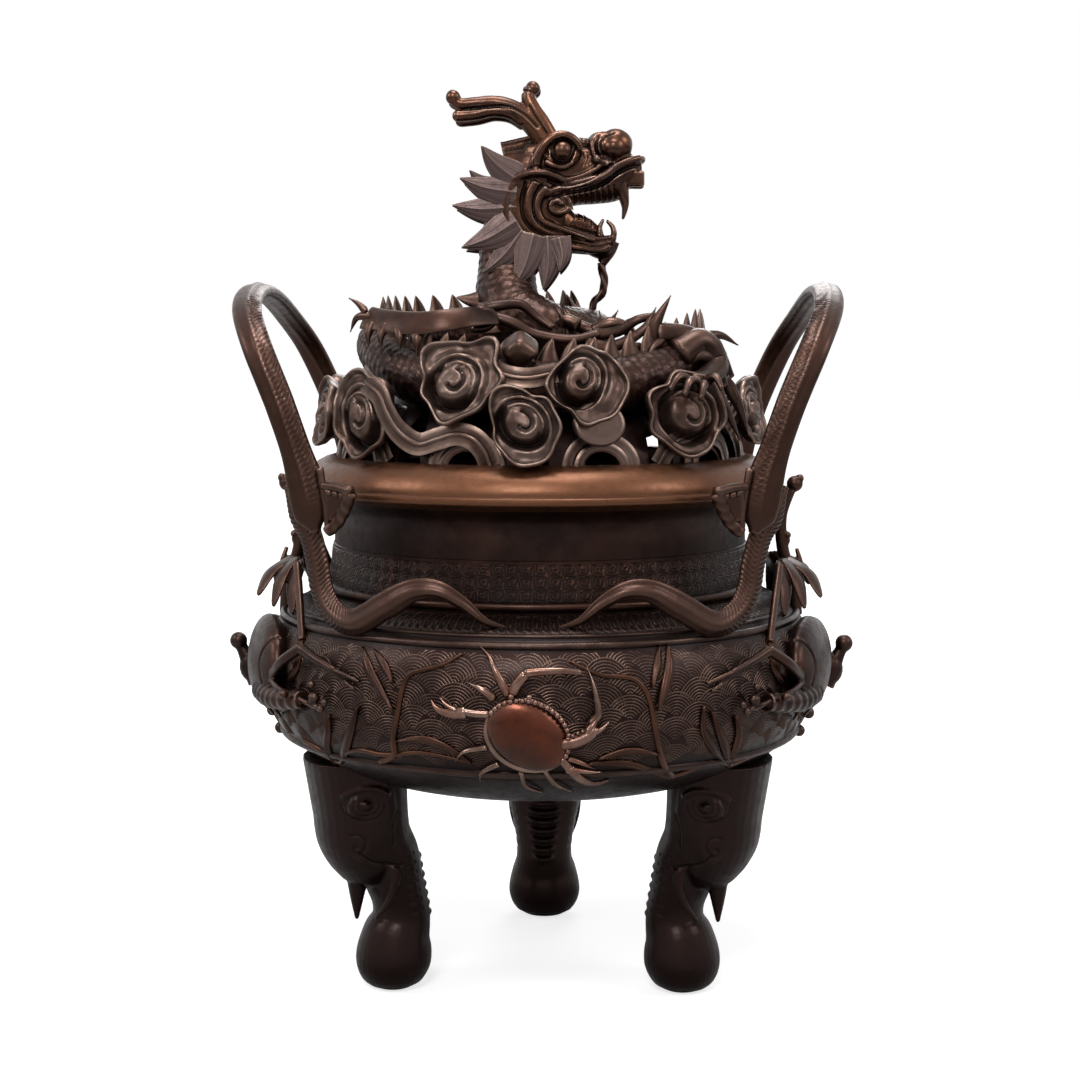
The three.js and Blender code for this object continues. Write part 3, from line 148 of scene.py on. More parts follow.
def blend_points(a, b, c, d, share):
    """One point of a centripetal curve between b and c."""
    first = max((a - b).length, 1e-6) ** 0.5
    middle = max((b - c).length, 1e-6) ** 0.5
    last = max((c - d).length, 1e-6) ** 0.5
    start = ((b - a) / first - (c - a) / (first + middle) + (c - b) / middle) * middle
    end = ((c - b) / middle - (d - b) / (middle + last) + (d - c) / last) * middle
    cube = 2 * b - 2 * c + start + end
    square = -3 * b + 3 * c - 2 * start - end
    return cube * share ** 3 + square * share ** 2 + start * share + b


def smooth_path(points, count, closed=False):
    """A centripetal curve through the points, sampled at even steps of length."""
    points = [Vector(p) for p in points]
    if closed:
        around = [points[-1]] + points + points[:2]
    else:
        around = [2 * points[0] - points[1]] + points + [2 * points[-1] - points[-2]]
    fine = [around[1]]
    for index in range(len(around) - 3):
        for step in range(1, 17):
            fine.append(blend_points(*around[index:index + 4], step / 16))
    lengths = [0]
    for before, after in zip(fine, fine[1:]):
        lengths.append(lengths[-1] + (after - before).length)
    path = []
    place = 0
    for step in range(count + 1):
        target = lengths[-1] * step / count
        while place < len(lengths) - 2 and lengths[place + 1] < target:
            place += 1
        span = lengths[place + 1] - lengths[place]
        share = (target - lengths[place]) / span if span else 0
        path.append(fine[place].lerp(fine[place + 1], share))
    return path


def run_of(path):
    return sum((b - a).length for a, b in zip(path, path[1:]))


def even_path(points, step, least, run=None):
    """A smooth path with a point about every step of its run, and at least so many."""
    run = run or run_of(smooth_path(points, 24))
    return smooth_path(points, max(least, int(run / step)))


def along_path(path, index):
    return (path[min(index + 1, len(path) - 1)] - path[max(index - 1, 0)]).normalized()


def station(place, along, toward, half_out, half_across):
    out = (toward - along * toward.dot(along)).normalized()
    across = along.cross(out)
    made = Matrix((out * half_out, across * half_across, along)).transposed().to_4x4()
    made.translation = place
    return made


def azimuth_of(point):
    return degrees(atan2(point.x, -point.y))


def arc(start, end, step):
    """Angles from start up to end, given in degrees."""
    return [radians(turn) for turn in range(start, end, step)]


def axes_on(outward, place, spin=0.0):
    """Axes that lie on a surface: x level, y up the surface, z outward."""
    out = outward.normalized()
    level = UP.cross(out).normalized() if abs(out.z) < 0.999 else Vector((1, 0, 0))
    made = Matrix((level, out.cross(level), out)).transposed().to_4x4()
    made.translation = place
    return made @ Matrix.Rotation(spin, 4, "Z")


def ease(share):
    """A soft step from 0 to 1."""
    share = min(1, max(0, share))
    return share * share * (3 - 2 * share)


def bell(away, width):
    """A soft hump, 1 in the middle."""
    return exp(-(away / width) ** 2)


# Shapes

def new_edges(made):
    verts = {item for item in made["geom"] if isinstance(item, bmesh.types.BMVert)}
    edges = [item for item in made["geom"] if isinstance(item, bmesh.types.BMEdge)]
    return list(verts), [edge for edge in edges if edge.verts[0] in verts
                         and edge.verts[1] in verts]


def edges_of(verts):
    return list({edge for vert in verts for edge in vert.link_edges})


def tube(bm, path, half, sides=10, facing=None, relief=None):
    """An oval section carried along a path. half(t) gives its half sizes towards and across
    facing(t, point), and relief(t, turn) lifts the surface."""
    part = bmesh.new()
    last = len(path) - 1
    stations = []
    for index, place in enumerate(path):
        toward = facing(index / last, place) if facing else Vector((0.3, 0.2, 1))
        stations.append(station(place, along_path(path, index), toward, *half(index / last)))
    made = bmesh.ops.create_circle(part, segments=sides, radius=1, matrix=stations[0])
    edges = edges_of(made["verts"])
    rims = list(edges)
    rings = [made["verts"]]
    for before, after in zip(stations, stations[1:]):
        verts, edges = new_edges(bmesh.ops.extrude_edge_only(part, edges=edges))
        bmesh.ops.transform(part, matrix=after @ before.inverted(), verts=verts)
        rings.append(verts)
    rims += edges
    if relief:
        for index, (place, ring) in enumerate(zip(stations, rings)):
            inward = place.inverted()
            for vert in ring:
                local = inward @ vert.co
                turn = atan2(local.y, local.x)
                lift = relief(index / last, turn)
                vert.co += (place.to_3x3() @ Vector((local.x, local.y, 0))).normalized() * lift
    bmesh.ops.holes_fill(part, edges=rims, sides=0)
    bmesh.ops.recalc_face_normals(part, faces=part.faces)
    merge_into(bm, part)


def mesh_of(name, bm):
    """The shape as a mesh. The shape itself is used up."""
    mesh = bpy.data.meshes.new(name)
    bm.to_mesh(mesh)
    bm.free()
    return mesh


def placed(name, data):
    """A mesh, a lamp or a camera as an object of the scene."""
    holder = bpy.data.objects.new(name, data)
    bpy.context.scene.collection.objects.link(holder)
    return holder


def modified(holder):
    """The shape of an object after its modifiers. The object is removed."""
    graph = bpy.context.evaluated_depsgraph_get()
    mesh = bpy.data.meshes.new_from_object(holder.evaluated_get(graph))
    bm = bmesh.new()
    bm.from_mesh(mesh)
    bpy.data.meshes.remove(mesh)
    bpy.data.meshes.remove(holder.data)
    return bm


def merge_into(bm, part, matrix=None):
    mesh = mesh_of("part", part)
    if matrix is not None:
        mesh.transform(matrix)
        if matrix.determinant() < 0:
            mesh.flip_normals()
    bm.from_mesh(mesh)
    bpy.data.meshes.remove(mesh)


def limb(bm, points, start, end, sides=10, steps=None, facing=None, relief=None):
    """A round limb whose radius goes from start to end."""
    path = smooth_path(points, steps) if steps else even_path(points, 1.6, 6)
    tube(bm, path, lambda t: (start + (end - start) * t,) * 2, sides, facing, relief)


def fold(bm, points, out, across, end=0.6, facing=None, sides=18):
    """A broad soft roll along the points, slimmer towards its end."""
    tube(bm, even_path(points, 1.4, 10), lambda t: (out * (1 - (1 - end) * t),
        across * (1 - (1 - end) * t)), sides, facing)


def pebble(bm, place, sizes, outward, spin=0.0, fine=20):
    matrix = axes_on(outward, place, spin) @ Matrix.Diagonal((*sizes, 1))
    bmesh.ops.create_uvsphere(bm, u_segments=fine, v_segments=max(6, fine // 2), radius=1,
                              matrix=matrix)


def ball(bm, place, radius, fine=12):
    bmesh.ops.create_uvsphere(bm, u_segments=fine, v_segments=max(6, fine // 2), radius=radius,
                              matrix=Matrix.Translation(place))


def rod(bm, radius, depth, matrix, segments):
    bmesh.ops.create_cone(bm, cap_ends=True, segments=segments, radius1=radius, radius2=radius,
                          depth=depth, matrix=matrix)


def round_edges(bm, edges, offset, segments):
    bmesh.ops.bevel(bm, geom=edges, offset=offset, segments=segments, profile=0.5, affect="EDGES",
                    material=-1)


def turn_round(bm, profile, steps=144):
    """A profile of (radius, height) points spun round the vessel axis."""
    part = bmesh.new()
    verts = [part.verts.new((radius, 0, height)) for radius, height in profile]
    edges = [part.edges.new(pair) for pair in zip(verts, verts[1:])]
    bmesh.ops.spin(part, geom=verts + edges, cent=(0, 0, 0), axis=(0, 0, 1), angle=2 * pi,
                   steps=steps, use_merge=True)
    bmesh.ops.remove_doubles(part, verts=part.verts, dist=0.001)
    bmesh.ops.recalc_face_normals(part, faces=part.faces)
    merge_into(bm, part)


def slab(bm, outline, thick, matrix):
    """A flat outline given a thickness."""
    part = bmesh.new()
    verts = [part.verts.new((x, y, -thick / 2)) for x, y in outline]
    face = part.faces.new(verts)
    raised = bmesh.ops.extrude_face_region(part, geom=[face])["geom"]
    top = [item for item in raised if isinstance(item, bmesh.types.BMVert)]
    bmesh.ops.translate(part, vec=(0, 0, thick), verts=top)
    bmesh.ops.recalc_face_normals(part, faces=part.faces)
    bmesh.ops.triangulate(part, faces=[face for face in part.faces if len(face.verts) > 4])
    merge_into(bm, part, matrix)


def fuse(bm, voxel, rounds=3):
    """Overlapping shapes run together into one skin."""
    holder = placed("fused", mesh_of("fused", bm))
    skin = holder.modifiers.new("Skin", "REMESH")
    skin.mode = "VOXEL"
    skin.voxel_size = voxel
    soften = holder.modifiers.new("Soften", "SMOOTH")
    soften.factor = 0.5
    soften.iterations = rounds
    return modified(holder)


def carve(bm, lines, width, depth):
    """Sinks the surface along lines, or raises it where the depth is below zero."""
    bm.normal_update()
    bm.verts.ensure_lookup_table()
    tree = KDTree(len(bm.verts))
    for index, vert in enumerate(bm.verts):
        tree.insert(vert.co, index)
    tree.balance()
    near = {}
    for line in lines:
        for point in line:
            for _, index, distance in tree.find_range(point, width):
                near[index] = min(near.get(index, width), distance)
    for index, distance in near.items():
        vert = bm.verts[index]
        vert.co -= vert.normal * depth * ease(1 - distance / width)


def drape(bm, points, direction, step=0.5):
    """Points of a line carried along a direction until they meet the surface."""
    tree = BVHTree.FromBMesh(bm)
    aim = Vector(direction).normalized()
    line = []
    for point in even_path(points, step, 4):
        hit = tree.ray_cast(point - aim * 200, aim)
        if hit[0] is not None:
            line.append(hit[0])
    return line


def piece(name, bm, body, nodes, material, crease=None):
    """A finished shape as a named object in metres, riding on its body."""
    bm.verts.index_update()
    bmesh.ops.scale(bm, vec=(0.001, 0.001, 0.001), verts=bm.verts)
    mesh = mesh_of(name, bm)
    mesh.materials.append(material)
    mesh.shade_smooth()
    if crease:
        mesh.set_sharp_from_angle(angle=radians(crease))
    holder = placed(name, mesh)
    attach(holder, body)
    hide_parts(*nodes)
    return holder


# The belly and what lies on it

class Belly:
    """The belly curve: a squarish round below the widest ring and a squarer one above it."""

    def __init__(self):
        self.radius_wide = mm("belly_radius")
        self.middle = mm("belly_height")
        self.depth = mm("belly_depth")
        self.rise = mm("shoulder_rise")

    def radius(self, height, shift=0.0):
        low = height < self.middle
        power = 2.5 if low else 3
        rise = (self.depth if low else self.rise) + shift
        share = min(1.0, abs(height - self.middle) / rise)
        return (self.radius_wide + shift) * (1 - share ** power) ** (1 / power)

    def height(self, radius, shift=0.0):
        share = min(1.0, radius / (self.radius_wide + shift)) ** 3
        return self.middle + (self.rise + shift) * (1 - share) ** (1 / 3)

    def floor(self, radius):
        share = min(1.0, radius / self.radius_wide) ** 2.5
        return self.middle - self.depth * (1 - share) ** 0.4

    def normal(self, azimuth, height):
        slope = self.radius(height + 0.5) - self.radius(height - 0.5)
        return (polar(azimuth, 1, 0) - UP * slope).normalized()

    def at(self, azimuth, height, lift=0.0):
        return polar(azimuth, self.radius(height), height) + self.normal(azimuth, height) * lift

    def axes(self, azimuth, height, spin=0.0):
        return axes_on(self.normal(azimuth, height), self.at(azimuth, height), spin)

    def facing(self, t, point):
        """Out of the belly beside a point of a path."""
        return self.normal(azimuth_of(point), point.z)

    def profile(self, shift, low_steps, high_steps, top):
        points = []
        for step in range(low_steps + 1):
            turn = (pi / 2) * (1 - step / low_steps)
            radius = (self.radius_wide + shift) * cos(turn) ** 0.8 if step else 0
            points.append((radius, self.middle - (self.depth + shift) * sin(turn) ** 0.8))
        end = acos(((top + shift) / (self.radius_wide + shift)) ** 1.5)
        for step in range(1, high_steps + 1):
            turn = end * step / high_steps
            points.append(((self.radius_wide + shift) * cos(turn) ** (2 / 3),
                           self.middle + (self.rise + shift) * sin(turn) ** (2 / 3)))
        return points


# Finishes

class Graph:
    """Short ways to add the nodes of a finish."""

    def __init__(self, name):
        self.material = bpy.data.materials.new(name)
        self.material.use_nodes = True
        self.tree = self.material.node_tree
        self.shader = self.tree.nodes["Principled BSDF"]
        self.place = self.add("ShaderNodeTexCoord").outputs["Object"]

    def add(self, kind, **settings):
        node = self.tree.nodes.new(kind)
        for key, value in settings.items():
            setattr(node, key, value)
        return node

    def link(self, source, socket):
        if isinstance(source, bpy.types.NodeSocket):
            self.tree.links.new(source, socket)
        else:
            socket.default_value = source

    def math(self, operation, first, second=0.0):
        node = self.add("ShaderNodeMath", operation=operation)
        self.link(first, node.inputs[0])
        self.link(second, node.inputs[1])
        return node.outputs[0]

    def noise(self, scale, detail, rough=0.55):
        node = self.add("ShaderNodeTexNoise")
        for name, given in (("Vector", self.place), ("Scale", scale), ("Detail", detail),
                            ("Roughness", rough)):
            self.link(given, node.inputs[name])
        return node.outputs["Fac"]

    def span(self, value, low, high, first=0.0, last=1.0, kind="SMOOTHSTEP"):
        node = self.add("ShaderNodeMapRange", interpolation_type=kind)
        for name, given in (("Value", value), ("From Min", low), ("From Max", high),
                            ("To Min", first), ("To Max", last)):
            self.link(given, node.inputs[name])
        return node.outputs["Result"]

    def mix(self, share, first, second):
        node = self.add("ShaderNodeMix", data_type="RGBA")
        self.link(share, node.inputs["Factor"])
        for socket, colour in ((node.inputs["A"], first), (node.inputs["B"], second)):
            self.link(colour if isinstance(colour, bpy.types.NodeSocket) else (*colour, 1), socket)
        return node.outputs["Result"]

    def bump(self, height, distance, strength, below=None):
        node = self.add("ShaderNodeBump")
        for name, given in (("Height", height), ("Distance", distance), ("Strength", strength)):
            self.link(given, node.inputs[name])
        if below is not None:
            self.link(below, node.inputs["Normal"])
        return node.outputs["Normal"]


def square_spirals(graph, low, high, count, rings, rows):
    """Height of rows of square rings round the vessel axis, between two heights in metres."""
    apart = graph.add("ShaderNodeSeparateXYZ")
    graph.link(graph.place, apart.inputs[0])
    turn = graph.math("ARCTAN2", apart.outputs["X"], apart.outputs["Y"])
    across = graph.math("FRACT", graph.math("MULTIPLY", turn, count / (2 * pi)))
    rise = graph.math("DIVIDE", graph.math("SUBTRACT", apart.outputs["Z"], low), high - low)
    level = graph.math("FRACT", graph.math("MULTIPLY", rise, rows))
    aside = graph.math("ABSOLUTE", graph.math("SUBTRACT", across, 0.5))
    over = graph.math("ABSOLUTE", graph.math("SUBTRACT", level, 0.5))
    square = graph.math("MAXIMUM", aside, over)
    hooks = graph.math("MULTIPLY", graph.math("SUBTRACT", across, level), 0.2)
    hooks = graph.math("ADD", hooks, graph.math("MULTIPLY", graph.noise(320, 1), 0.3))
    waves = graph.math("SINE", graph.math("MULTIPLY", graph.math("ADD", square, hooks),
        4 * pi * rings))
    inside = graph.math("MULTIPLY", graph.span(rise, 0, 0.03), graph.span(rise, 1, 0.97))
    return graph.math("MULTIPLY", waves, inside)


def patina(name, base, second, wear_and_highlight, wear_and_highlight_share, rough, band=None):
    """Patinated bronze: two tones in clouds, soot and painted shade in the hollows, bared metal and
    painted highlights on the edges.
    """
    colours = bpy.context.scene.burner_finishes
    graph = Graph(name)
    clouds = graph.span(graph.noise(26, 5, 0.6), 0.38, 0.66)
    flecks = graph.noise(190, 3, 0.6)
    colour = graph.mix(clouds, getattr(colours, base), getattr(colours, second))
    colour = graph.mix(graph.span(flecks, 0.60, 0.80, 0, 0.35), colour, colours.soot_and_shade)
    bend = graph.add("ShaderNodeNewGeometry").outputs["Pointiness"]
    uneven = graph.span(graph.noise(75, 3), 0.3, 0.7, 0.35, 1)
    # Convex edges go towards the edge colour: metal bared by handling, and a painted highlight
    # along them.
    edge = graph.math("MULTIPLY", graph.span(bend, 0.505, 0.56, 0, wear_and_highlight_share), uneven)
    # Hollows go towards the soot colour: soot, and painted shade in them.
    hollow = graph.span(bend, 0.497, 0.445)
    colour = graph.mix(edge, colour, getattr(colours, wear_and_highlight))
    colour = graph.mix(graph.math("MULTIPLY", hollow, 0.8), colour, colours.soot_and_shade)
    heights = graph.bump(graph.noise(420, 4, 0.6), 0.00025, 0.35)
    heights = graph.bump(graph.noise(60, 2), 0.0012, 0.25, heights)
    if band:
        raised = square_spirals(graph, *band)
        heights = graph.bump(raised, 0.0004, 0.8, heights)
        # The band's grooves are darkened with soot and painted shade, and its ridges are lightened
        # with bared metal and a painted highlight.
        colour = graph.mix(graph.span(raised, 0, -0.9, 0, 0.5), colour, colours.soot_and_shade)
        colour = graph.mix(graph.span(raised, 0.2, 0.95, 0, 0.12), colour, getattr(colours, wear_and_highlight))
    sheen = graph.math("ADD", graph.span(flecks, 0.35, 0.75, rough - 0.06, rough + 0.1),
                       graph.math("MULTIPLY", edge, -0.12))
    graph.link(colour, graph.shader.inputs["Base Color"])
    graph.link(graph.math("ADD", sheen, graph.math("MULTIPLY", hollow, 0.25)),
               graph.shader.inputs["Roughness"])
    graph.link(heights, graph.shader.inputs["Normal"])
    for name, value in (("Metallic", 0.9), ("Specular IOR Level", 0.3), ("Coat Weight", 0.12),
                        ("Coat Roughness", 0.28)):
        graph.shader.inputs[name].default_value = value
    return graph.material


# Each finish: base tone, second tone, edge colour (bared metal and painted highlight), how far the
# edges take it, and roughness.
FINISHES = {
    "belly": ("dark", "dark", "worn_and_highlit", 0.35, 0.42),
    "ground": ("dark", "dark", "worn_and_highlit", 0.4, 0.42),
    "neck": ("dark", "brown", "warm", 0.4, 0.42),
    "lip": ("warm", "warm", "warm", 0.3, 0.42),
    "legs": ("dark", "dark", "brown", 0.5, 0.42),
    "handles": ("brown", "brown", "worn_and_highlit", 0.45, 0.42),
    "vines": ("brown", "brown", "worn_and_highlit", 0.5, 0.40),
    "reeds": ("brown", "dark", "warm", 0.5, 0.40),
    "crab": ("red", "brown", "pale", 0.5, 0.30),
    "crayfish": ("brown", "dark", "worn_and_highlit", 0.4, 0.40),
    "clouds": ("grey", "brown", "pale", 0.42, 0.42),
    "head": ("brown", "warm", "pale", 0.45, 0.28),
    "mane": ("ash", "ash", "pale", 0.5, 0.48),
    "scales": ("brown", "dark", "worn_and_highlit", 0.5, 0.42),
    "nuts": ("dark", "grey", "brown", 0.5, 0.55),
}


def finish(name, **more):
    made = bpy.data.materials.get(name)
    return made or patina(name, *FINISHES[name], **more)


# The bowl

def bead_points(radius, height, lean, half=2.2):
    points = []
    for step in range(-4, 5):
        turn = step / 4 * pi / 2
        proud = half * cos(turn)
        level = half * sin(turn)
        points.append((radius + proud * cos(lean) - level * sin(lean),
                       height + proud * sin(lean) + level * cos(lean)))
    return points


def with_bead(profile, radius, height, lean, half=2.2):
    """A profile with a half-round bead let into it."""
    far = [p for p in profile if hypot(p[0] - radius, p[1] - height) > half * 1.05]
    index = next(i for i in range(1, len(far)) if lies_beside(far, i, radius, height))
    return far[:index] + bead_points(radius, height, lean, half) + far[index:]


def lies_beside(points, index, radius, height):
    """Whether a place is beside the stretch that ends at a point of a profile."""
    (r0, z0), (r1, z1) = points[index - 1], points[index]
    share = (radius - r0) * (r1 - r0) + (height - z0) * (z1 - z0)
    return 0 <= share <= (r1 - r0) ** 2 + (z1 - z0) ** 2


def bowl_profile():
    belly = Belly()
    bead, band = mm("bead_radius"), mm("band_height")
    outer = belly.profile(0, 26, 26, mm("neck_foot"))
    outer = with_bead(outer, belly.radius(band), band, -0.8)
    outer = with_bead(outer, bead, belly.height(bead), 0.8)
    outer = with_bead(outer, bead - 4.6, belly.height(bead - 4.6), 1, 1.1)
    mouth = belly.height(mm("neck_foot"))
    bore = mm("neck_bore") + 5.3
    inner = belly.profile(-mm("wall"), 16, 12, mm("neck_foot"))
    inner = [point for point in reversed(inner) if point[1] < mouth - 8]
    return outer[:-1] + [(mm("neck_foot"), mouth), (bore, mouth), (bore, mouth - 7.6)] + inner


BOSS_TOP = 126


class BURNER_OT_bowl(bpy.types.Operator):
    """Turns the bowl with its beads"""
    bl_idname = "burner.bowl"
    bl_label = "Bowl"

    def execute(self, context):
        belly = Belly()
        bm = bmesh.new()
        turn_round(bm, bowl_profile(), 192)
        for _, azimuth in LEGS:
            place = stud_place(azimuth, 0)
            part = bmesh.new()
            floor = belly.floor(place.length)
            rod(part, 13, BOSS_TOP - floor - 2,
                Matrix.Translation(place + UP * (BOSS_TOP + floor + 2) / 2), 40)
            rims = [edge for edge in part.edges if edge.calc_face_angle(0) > 1]
            round_edges(part, rims, 1.2, 3)
            merge_into(bm, part)
        low = belly.height(mm("bead_radius") - 6) / 1000
        high = belly.height(mm("neck_foot") + 2) / 1000
        piece("bowl_body", bm, "vessel", ["bowl"],
              finish("belly", band=(low, high, 190, 1, 1)), 40)
        return {"FINISHED"}


def wave_cell(radius, rings=8):
    """One wave of the ground: rings of ridges, each a few faces long, in the plane x, y."""
    part = bmesh.new()
    for ring in range(1, rings + 1):
        reach = radius * ring / rings
        half = radians(62 - 8 * sin(pi * ring / (rings + 1)))
        verts = [part.verts.new((0, reach - 0.5, -0.3)), part.verts.new((0, reach, 0.38)),
                 part.verts.new((0, reach + 0.5, -0.3))]
        edges = [part.edges.new(pair) for pair in zip(verts, verts[1:])]
        bmesh.ops.rotate(part, verts=verts, cent=(0, 0, 0), matrix=Matrix.Rotation(half, 3, "Z"))
        bmesh.ops.spin(part, geom=verts + edges, cent=(0, 0, 0), axis=(0, 0, -1), angle=2 * half,
                       steps=3 + ring // 2, use_merge=False)
    bmesh.ops.recalc_face_normals(part, faces=part.faces)
    for face in part.faces:
        if face.normal.z < 0:
            face.normal_flip()
    return mesh_of("wave", part)


class BURNER_OT_waves(bpy.types.Operator):
    """Lays the ground of overlapping waves round the belly"""
    bl_idname = "burner.waves"
    bl_label = "Wave ground"

    def execute(self, context):
        belly = Belly()
        radius = mm("wave")
        cell = wave_cell(radius)
        bm = bmesh.new()
        count = round(pi * mm("belly_radius") / radius)
        first = mm("band_height") + 3
        last = belly.height(mm("bead_radius")) - 2.6
        for row in range(int((last - first) * 2 / radius)):
            for place in range(count):
                azimuth = 360 * (place + 0.5 * (row % 2)) / count
                wander = sin(azimuth / 13 + 2.1 * row) + cos(azimuth / 7.3 - row)
                place_on = belly.axes(azimuth + 0.5 * wander, first + row * radius / 2,
                                      0.24 * wander)
                copy = cell.copy()
                for vert in copy.vertices:
                    flat = place_on @ Vector((vert.co.x, vert.co.y, 0))
                    inside = min(flat.z, last)
                    lift = vert.co.z if inside == flat.z else -0.3
                    vert.co = belly.at(azimuth_of(flat), inside, lift)
                bm.from_mesh(copy)
                bpy.data.meshes.remove(copy)
        bpy.data.meshes.remove(cell)
        piece("wave_ground", bm, "vessel", ["bowl"], finish("ground"))
        return {"FINISHED"}


# Reeds and leaves on the belly

def vein(bm, belly, points, start, end):
    """A raised stem along points of (azimuth, height) on the belly."""
    rough = [belly.at(azimuth, height, 0.2) for azimuth, height in points]
    tube(bm, even_path(rough, 2, 6, run_of(rough)), lambda t: (start + (end - start) * t,) * 2, 8,
         belly.facing)


def leaf(bm, belly, points, width):
    """A leaf blade with a midrib, bowed along points of (azimuth, height, lift)."""
    rough = [belly.at(azimuth, height, 0.6 + sum(lift)) for azimuth, height, *lift in points]

    def half(t):
        return 1.5, max(0.35, width / 2 * sin(pi * min(1, t * 0.97 + 0.03)) ** 0.75)

    tube(bm, even_path(rough, 1.8, 10, run_of(rough)), half, 16, belly.facing,
         lambda t, turn: 0.7 * bell(turn, 0.16) - 0.35 * bell(abs(turn) - 0.5, 0.25))


# Points of (azimuth, height) on the belly, and the radius at the root and at the tip
STEMS = [
    ([(-31.5, 139), (-27.4, 144), (-26.8, 152), (-25.6, 165), (-24.6, 178), (-23.4, 184.5),
      (-20, 187.5), (-16.5, 190.5), (-13.4, 195.2)], 2.1, 1.1),
    ([(30.5, 131), (25.8, 142.1), (23.2, 160.8), (22.5, 170.7), (21.4, 178.1), (19.2, 183.6),
      (16.7, 184.9), (12.9, 186), (10.1, 189), (7.4, 192.4)], 2.2, 1),
    ([(-56, 141), (-50, 138), (-46, 133), (-41, 140), (-36, 143.6), (-31, 143), (-27, 144)], 1.7,
     1.4),
    ([(-46, 133), (-52, 135.5), (-58, 137), (-66, 139)], 1.6, 1.2),
    ([(46, 133), (38, 137.5), (31, 132), (27, 136)], 1.8, 1.4),
    ([(46, 133), (55, 136.5), (66, 139)], 1.7, 1.2),
    ([(-27.5, 143.6), (-22, 146.5), (-16.5, 145.4), (-11.5, 143)], 1.5, 0.9),
    ([(29, 133), (20, 141), (12, 143.4)], 1.5, 0.9),
]


# Points of (azimuth, height, lift) and the width of the leaf
LEAVES = [
    ([(-35.5, 194.5), (-32.2, 184), (-29.2, 175), (-26.2, 167.5, 1.2)], 5.6),
    ([(-32.4, 194), (-29, 187), (-26.4, 180, 1.2)], 4.6),
    ([(-46, 131.5), (-40, 143), (-36.8, 154), (-34.2, 166.5, 1)], 5.4),
    ([(-47.5, 132), (-46, 142), (-43.5, 151), (-42, 160, 0.8)], 5.2),
    ([(-26, 152), (-20, 153.6), (-15.5, 150), (-11.2, 143.2)], 4.6),
    ([(12.6, 146.1), (18.8, 148.6), (24.6, 146.4)], 4.2),
    ([(10.8, 143.6), (18.2, 142), (28.4, 133)], 4.8),
    ([(27.5, 197), (26.8, 188), (25.2, 178, 1), (23.6, 168, 1.4)], 6),
    ([(25.6, 197), (24.2, 188), (22.6, 179, 1)], 4.4),
    ([(45.5, 132), (41, 143), (38, 153), (35, 165, 1)], 5.4),
    ([(45, 132), (43.5, 143), (43, 152), (41, 161, 1)], 5.2),
    ([(33.5, 168), (33.8, 156), (37, 146), (44, 134)], 4.6),
    ([(-58, 198), (-55, 190), (-54, 180), (-56, 171, 1)], 6),
    ([(58, 198), (55, 190), (54, 180), (56, 171, 1)], 6),
]


def belly_plants(bm, belly, turned):
    """The plants of the front, or their copy turned round to the back."""
    def around(points):
        return [(azimuth + turned, *rest) for azimuth, *rest in points]

    for points, start, end in STEMS:
        vein(bm, belly, around(points), start, end)
    for points, width in LEAVES:
        leaf(bm, belly, around(points), width)


class BURNER_OT_plants(bpy.types.Operator):
    """Lays the reeds and leaves over the waves, at the front and again at the back"""
    bl_idname = "burner.plants"
    bl_label = "Reeds and leaves"

    def execute(self, context):
        belly = Belly()
        bm = bmesh.new()
        belly_plants(bm, belly, 0)
        belly_plants(bm, belly, 180)
        piece("belly_reeds", bm, "vessel", ["bowl"], finish("reeds"))
        return {"FINISHED"}


# Neck and lip

def neck_profile():
    out = mm("neck_foot")
    foot = Belly().height(out) + 0.3
    bore, seat = mm("neck_bore"), mm("seat")
    waist, middle = mm("neck_waist"), mm("waist_height")
    lip, edge, top = mm("lip_radius"), mm("lip_edge"), mm("lip_top")
    mouth = mm("mouth")
    outer = [(bore + 5, foot - 7), (bore + 5, foot), (out, foot)]
    outer += bead_points(out - 0.4, foot + 2.2, 0.15, 2.1)[1:-1]
    outer += [(out - 1.6, foot + 4.7), (waist + 3.6, foot + 9), (waist + 2.2, foot + 14),
              (waist + 1.4, middle - 8)]
    outer += [(waist + 0.9, middle - 7.6), (waist + 0.9, middle - 6.2), (waist + 0.2, middle - 5.8),
              (waist, middle), (waist + 0.6, middle + 6), (waist + 2.4, edge - 10),
              (waist + 5, edge - 6.2), (waist + 9.5, edge - 3), (lip - 4, edge - 1),
              (lip - 1.2, edge - 0.2), (lip - 0.2, edge + 0.8), (lip, edge + 1.8),
              (lip - 0.3, edge + 3.2), (lip - 1.4, edge + 3.7), (lip - 1.7, edge + 4.3),
              (lip - 1.6, edge + 5.2), (lip - 2.4, edge + 8.2), (lip - 4.6, edge + 12.2),
              (lip - 8, edge + 15.8), (mouth + 8, top - 1), (mouth + 4.5, top), (mouth + 1.2, top),
              (mouth + 0.3, top - 0.4), (mouth, top - 1.4)]
    inner = [(mouth, seat + 0.6), (mouth - 0.6, seat), (bore - 1.4, seat), (bore - 2, seat - 0.6),
             (bore, seat - 14), (bore, foot - 7), (bore + 5, foot - 7)]
    return outer + inner


class BURNER_OT_neck(bpy.types.Operator):
    """Turns the neck and the everted lip"""
    bl_idname = "burner.neck"
    bl_label = "Neck and lip"

    def execute(self, context):
        bm = bmesh.new()
        turn_round(bm, neck_profile(), 192)
        holder = piece("neck_and_lip", bm, "vessel", ["neck"],
                       finish("neck", band=(0.2165, 0.2355, 100, 2, 3)), 40)
        holder.data.materials.append(finish("lip"))
        for face in holder.data.polygons:
            face.material_index = int(face.center.z > (mm("lip_edge") - 2) / 1000)
        return {"FINISHED"}


# Handles, vines and clasps

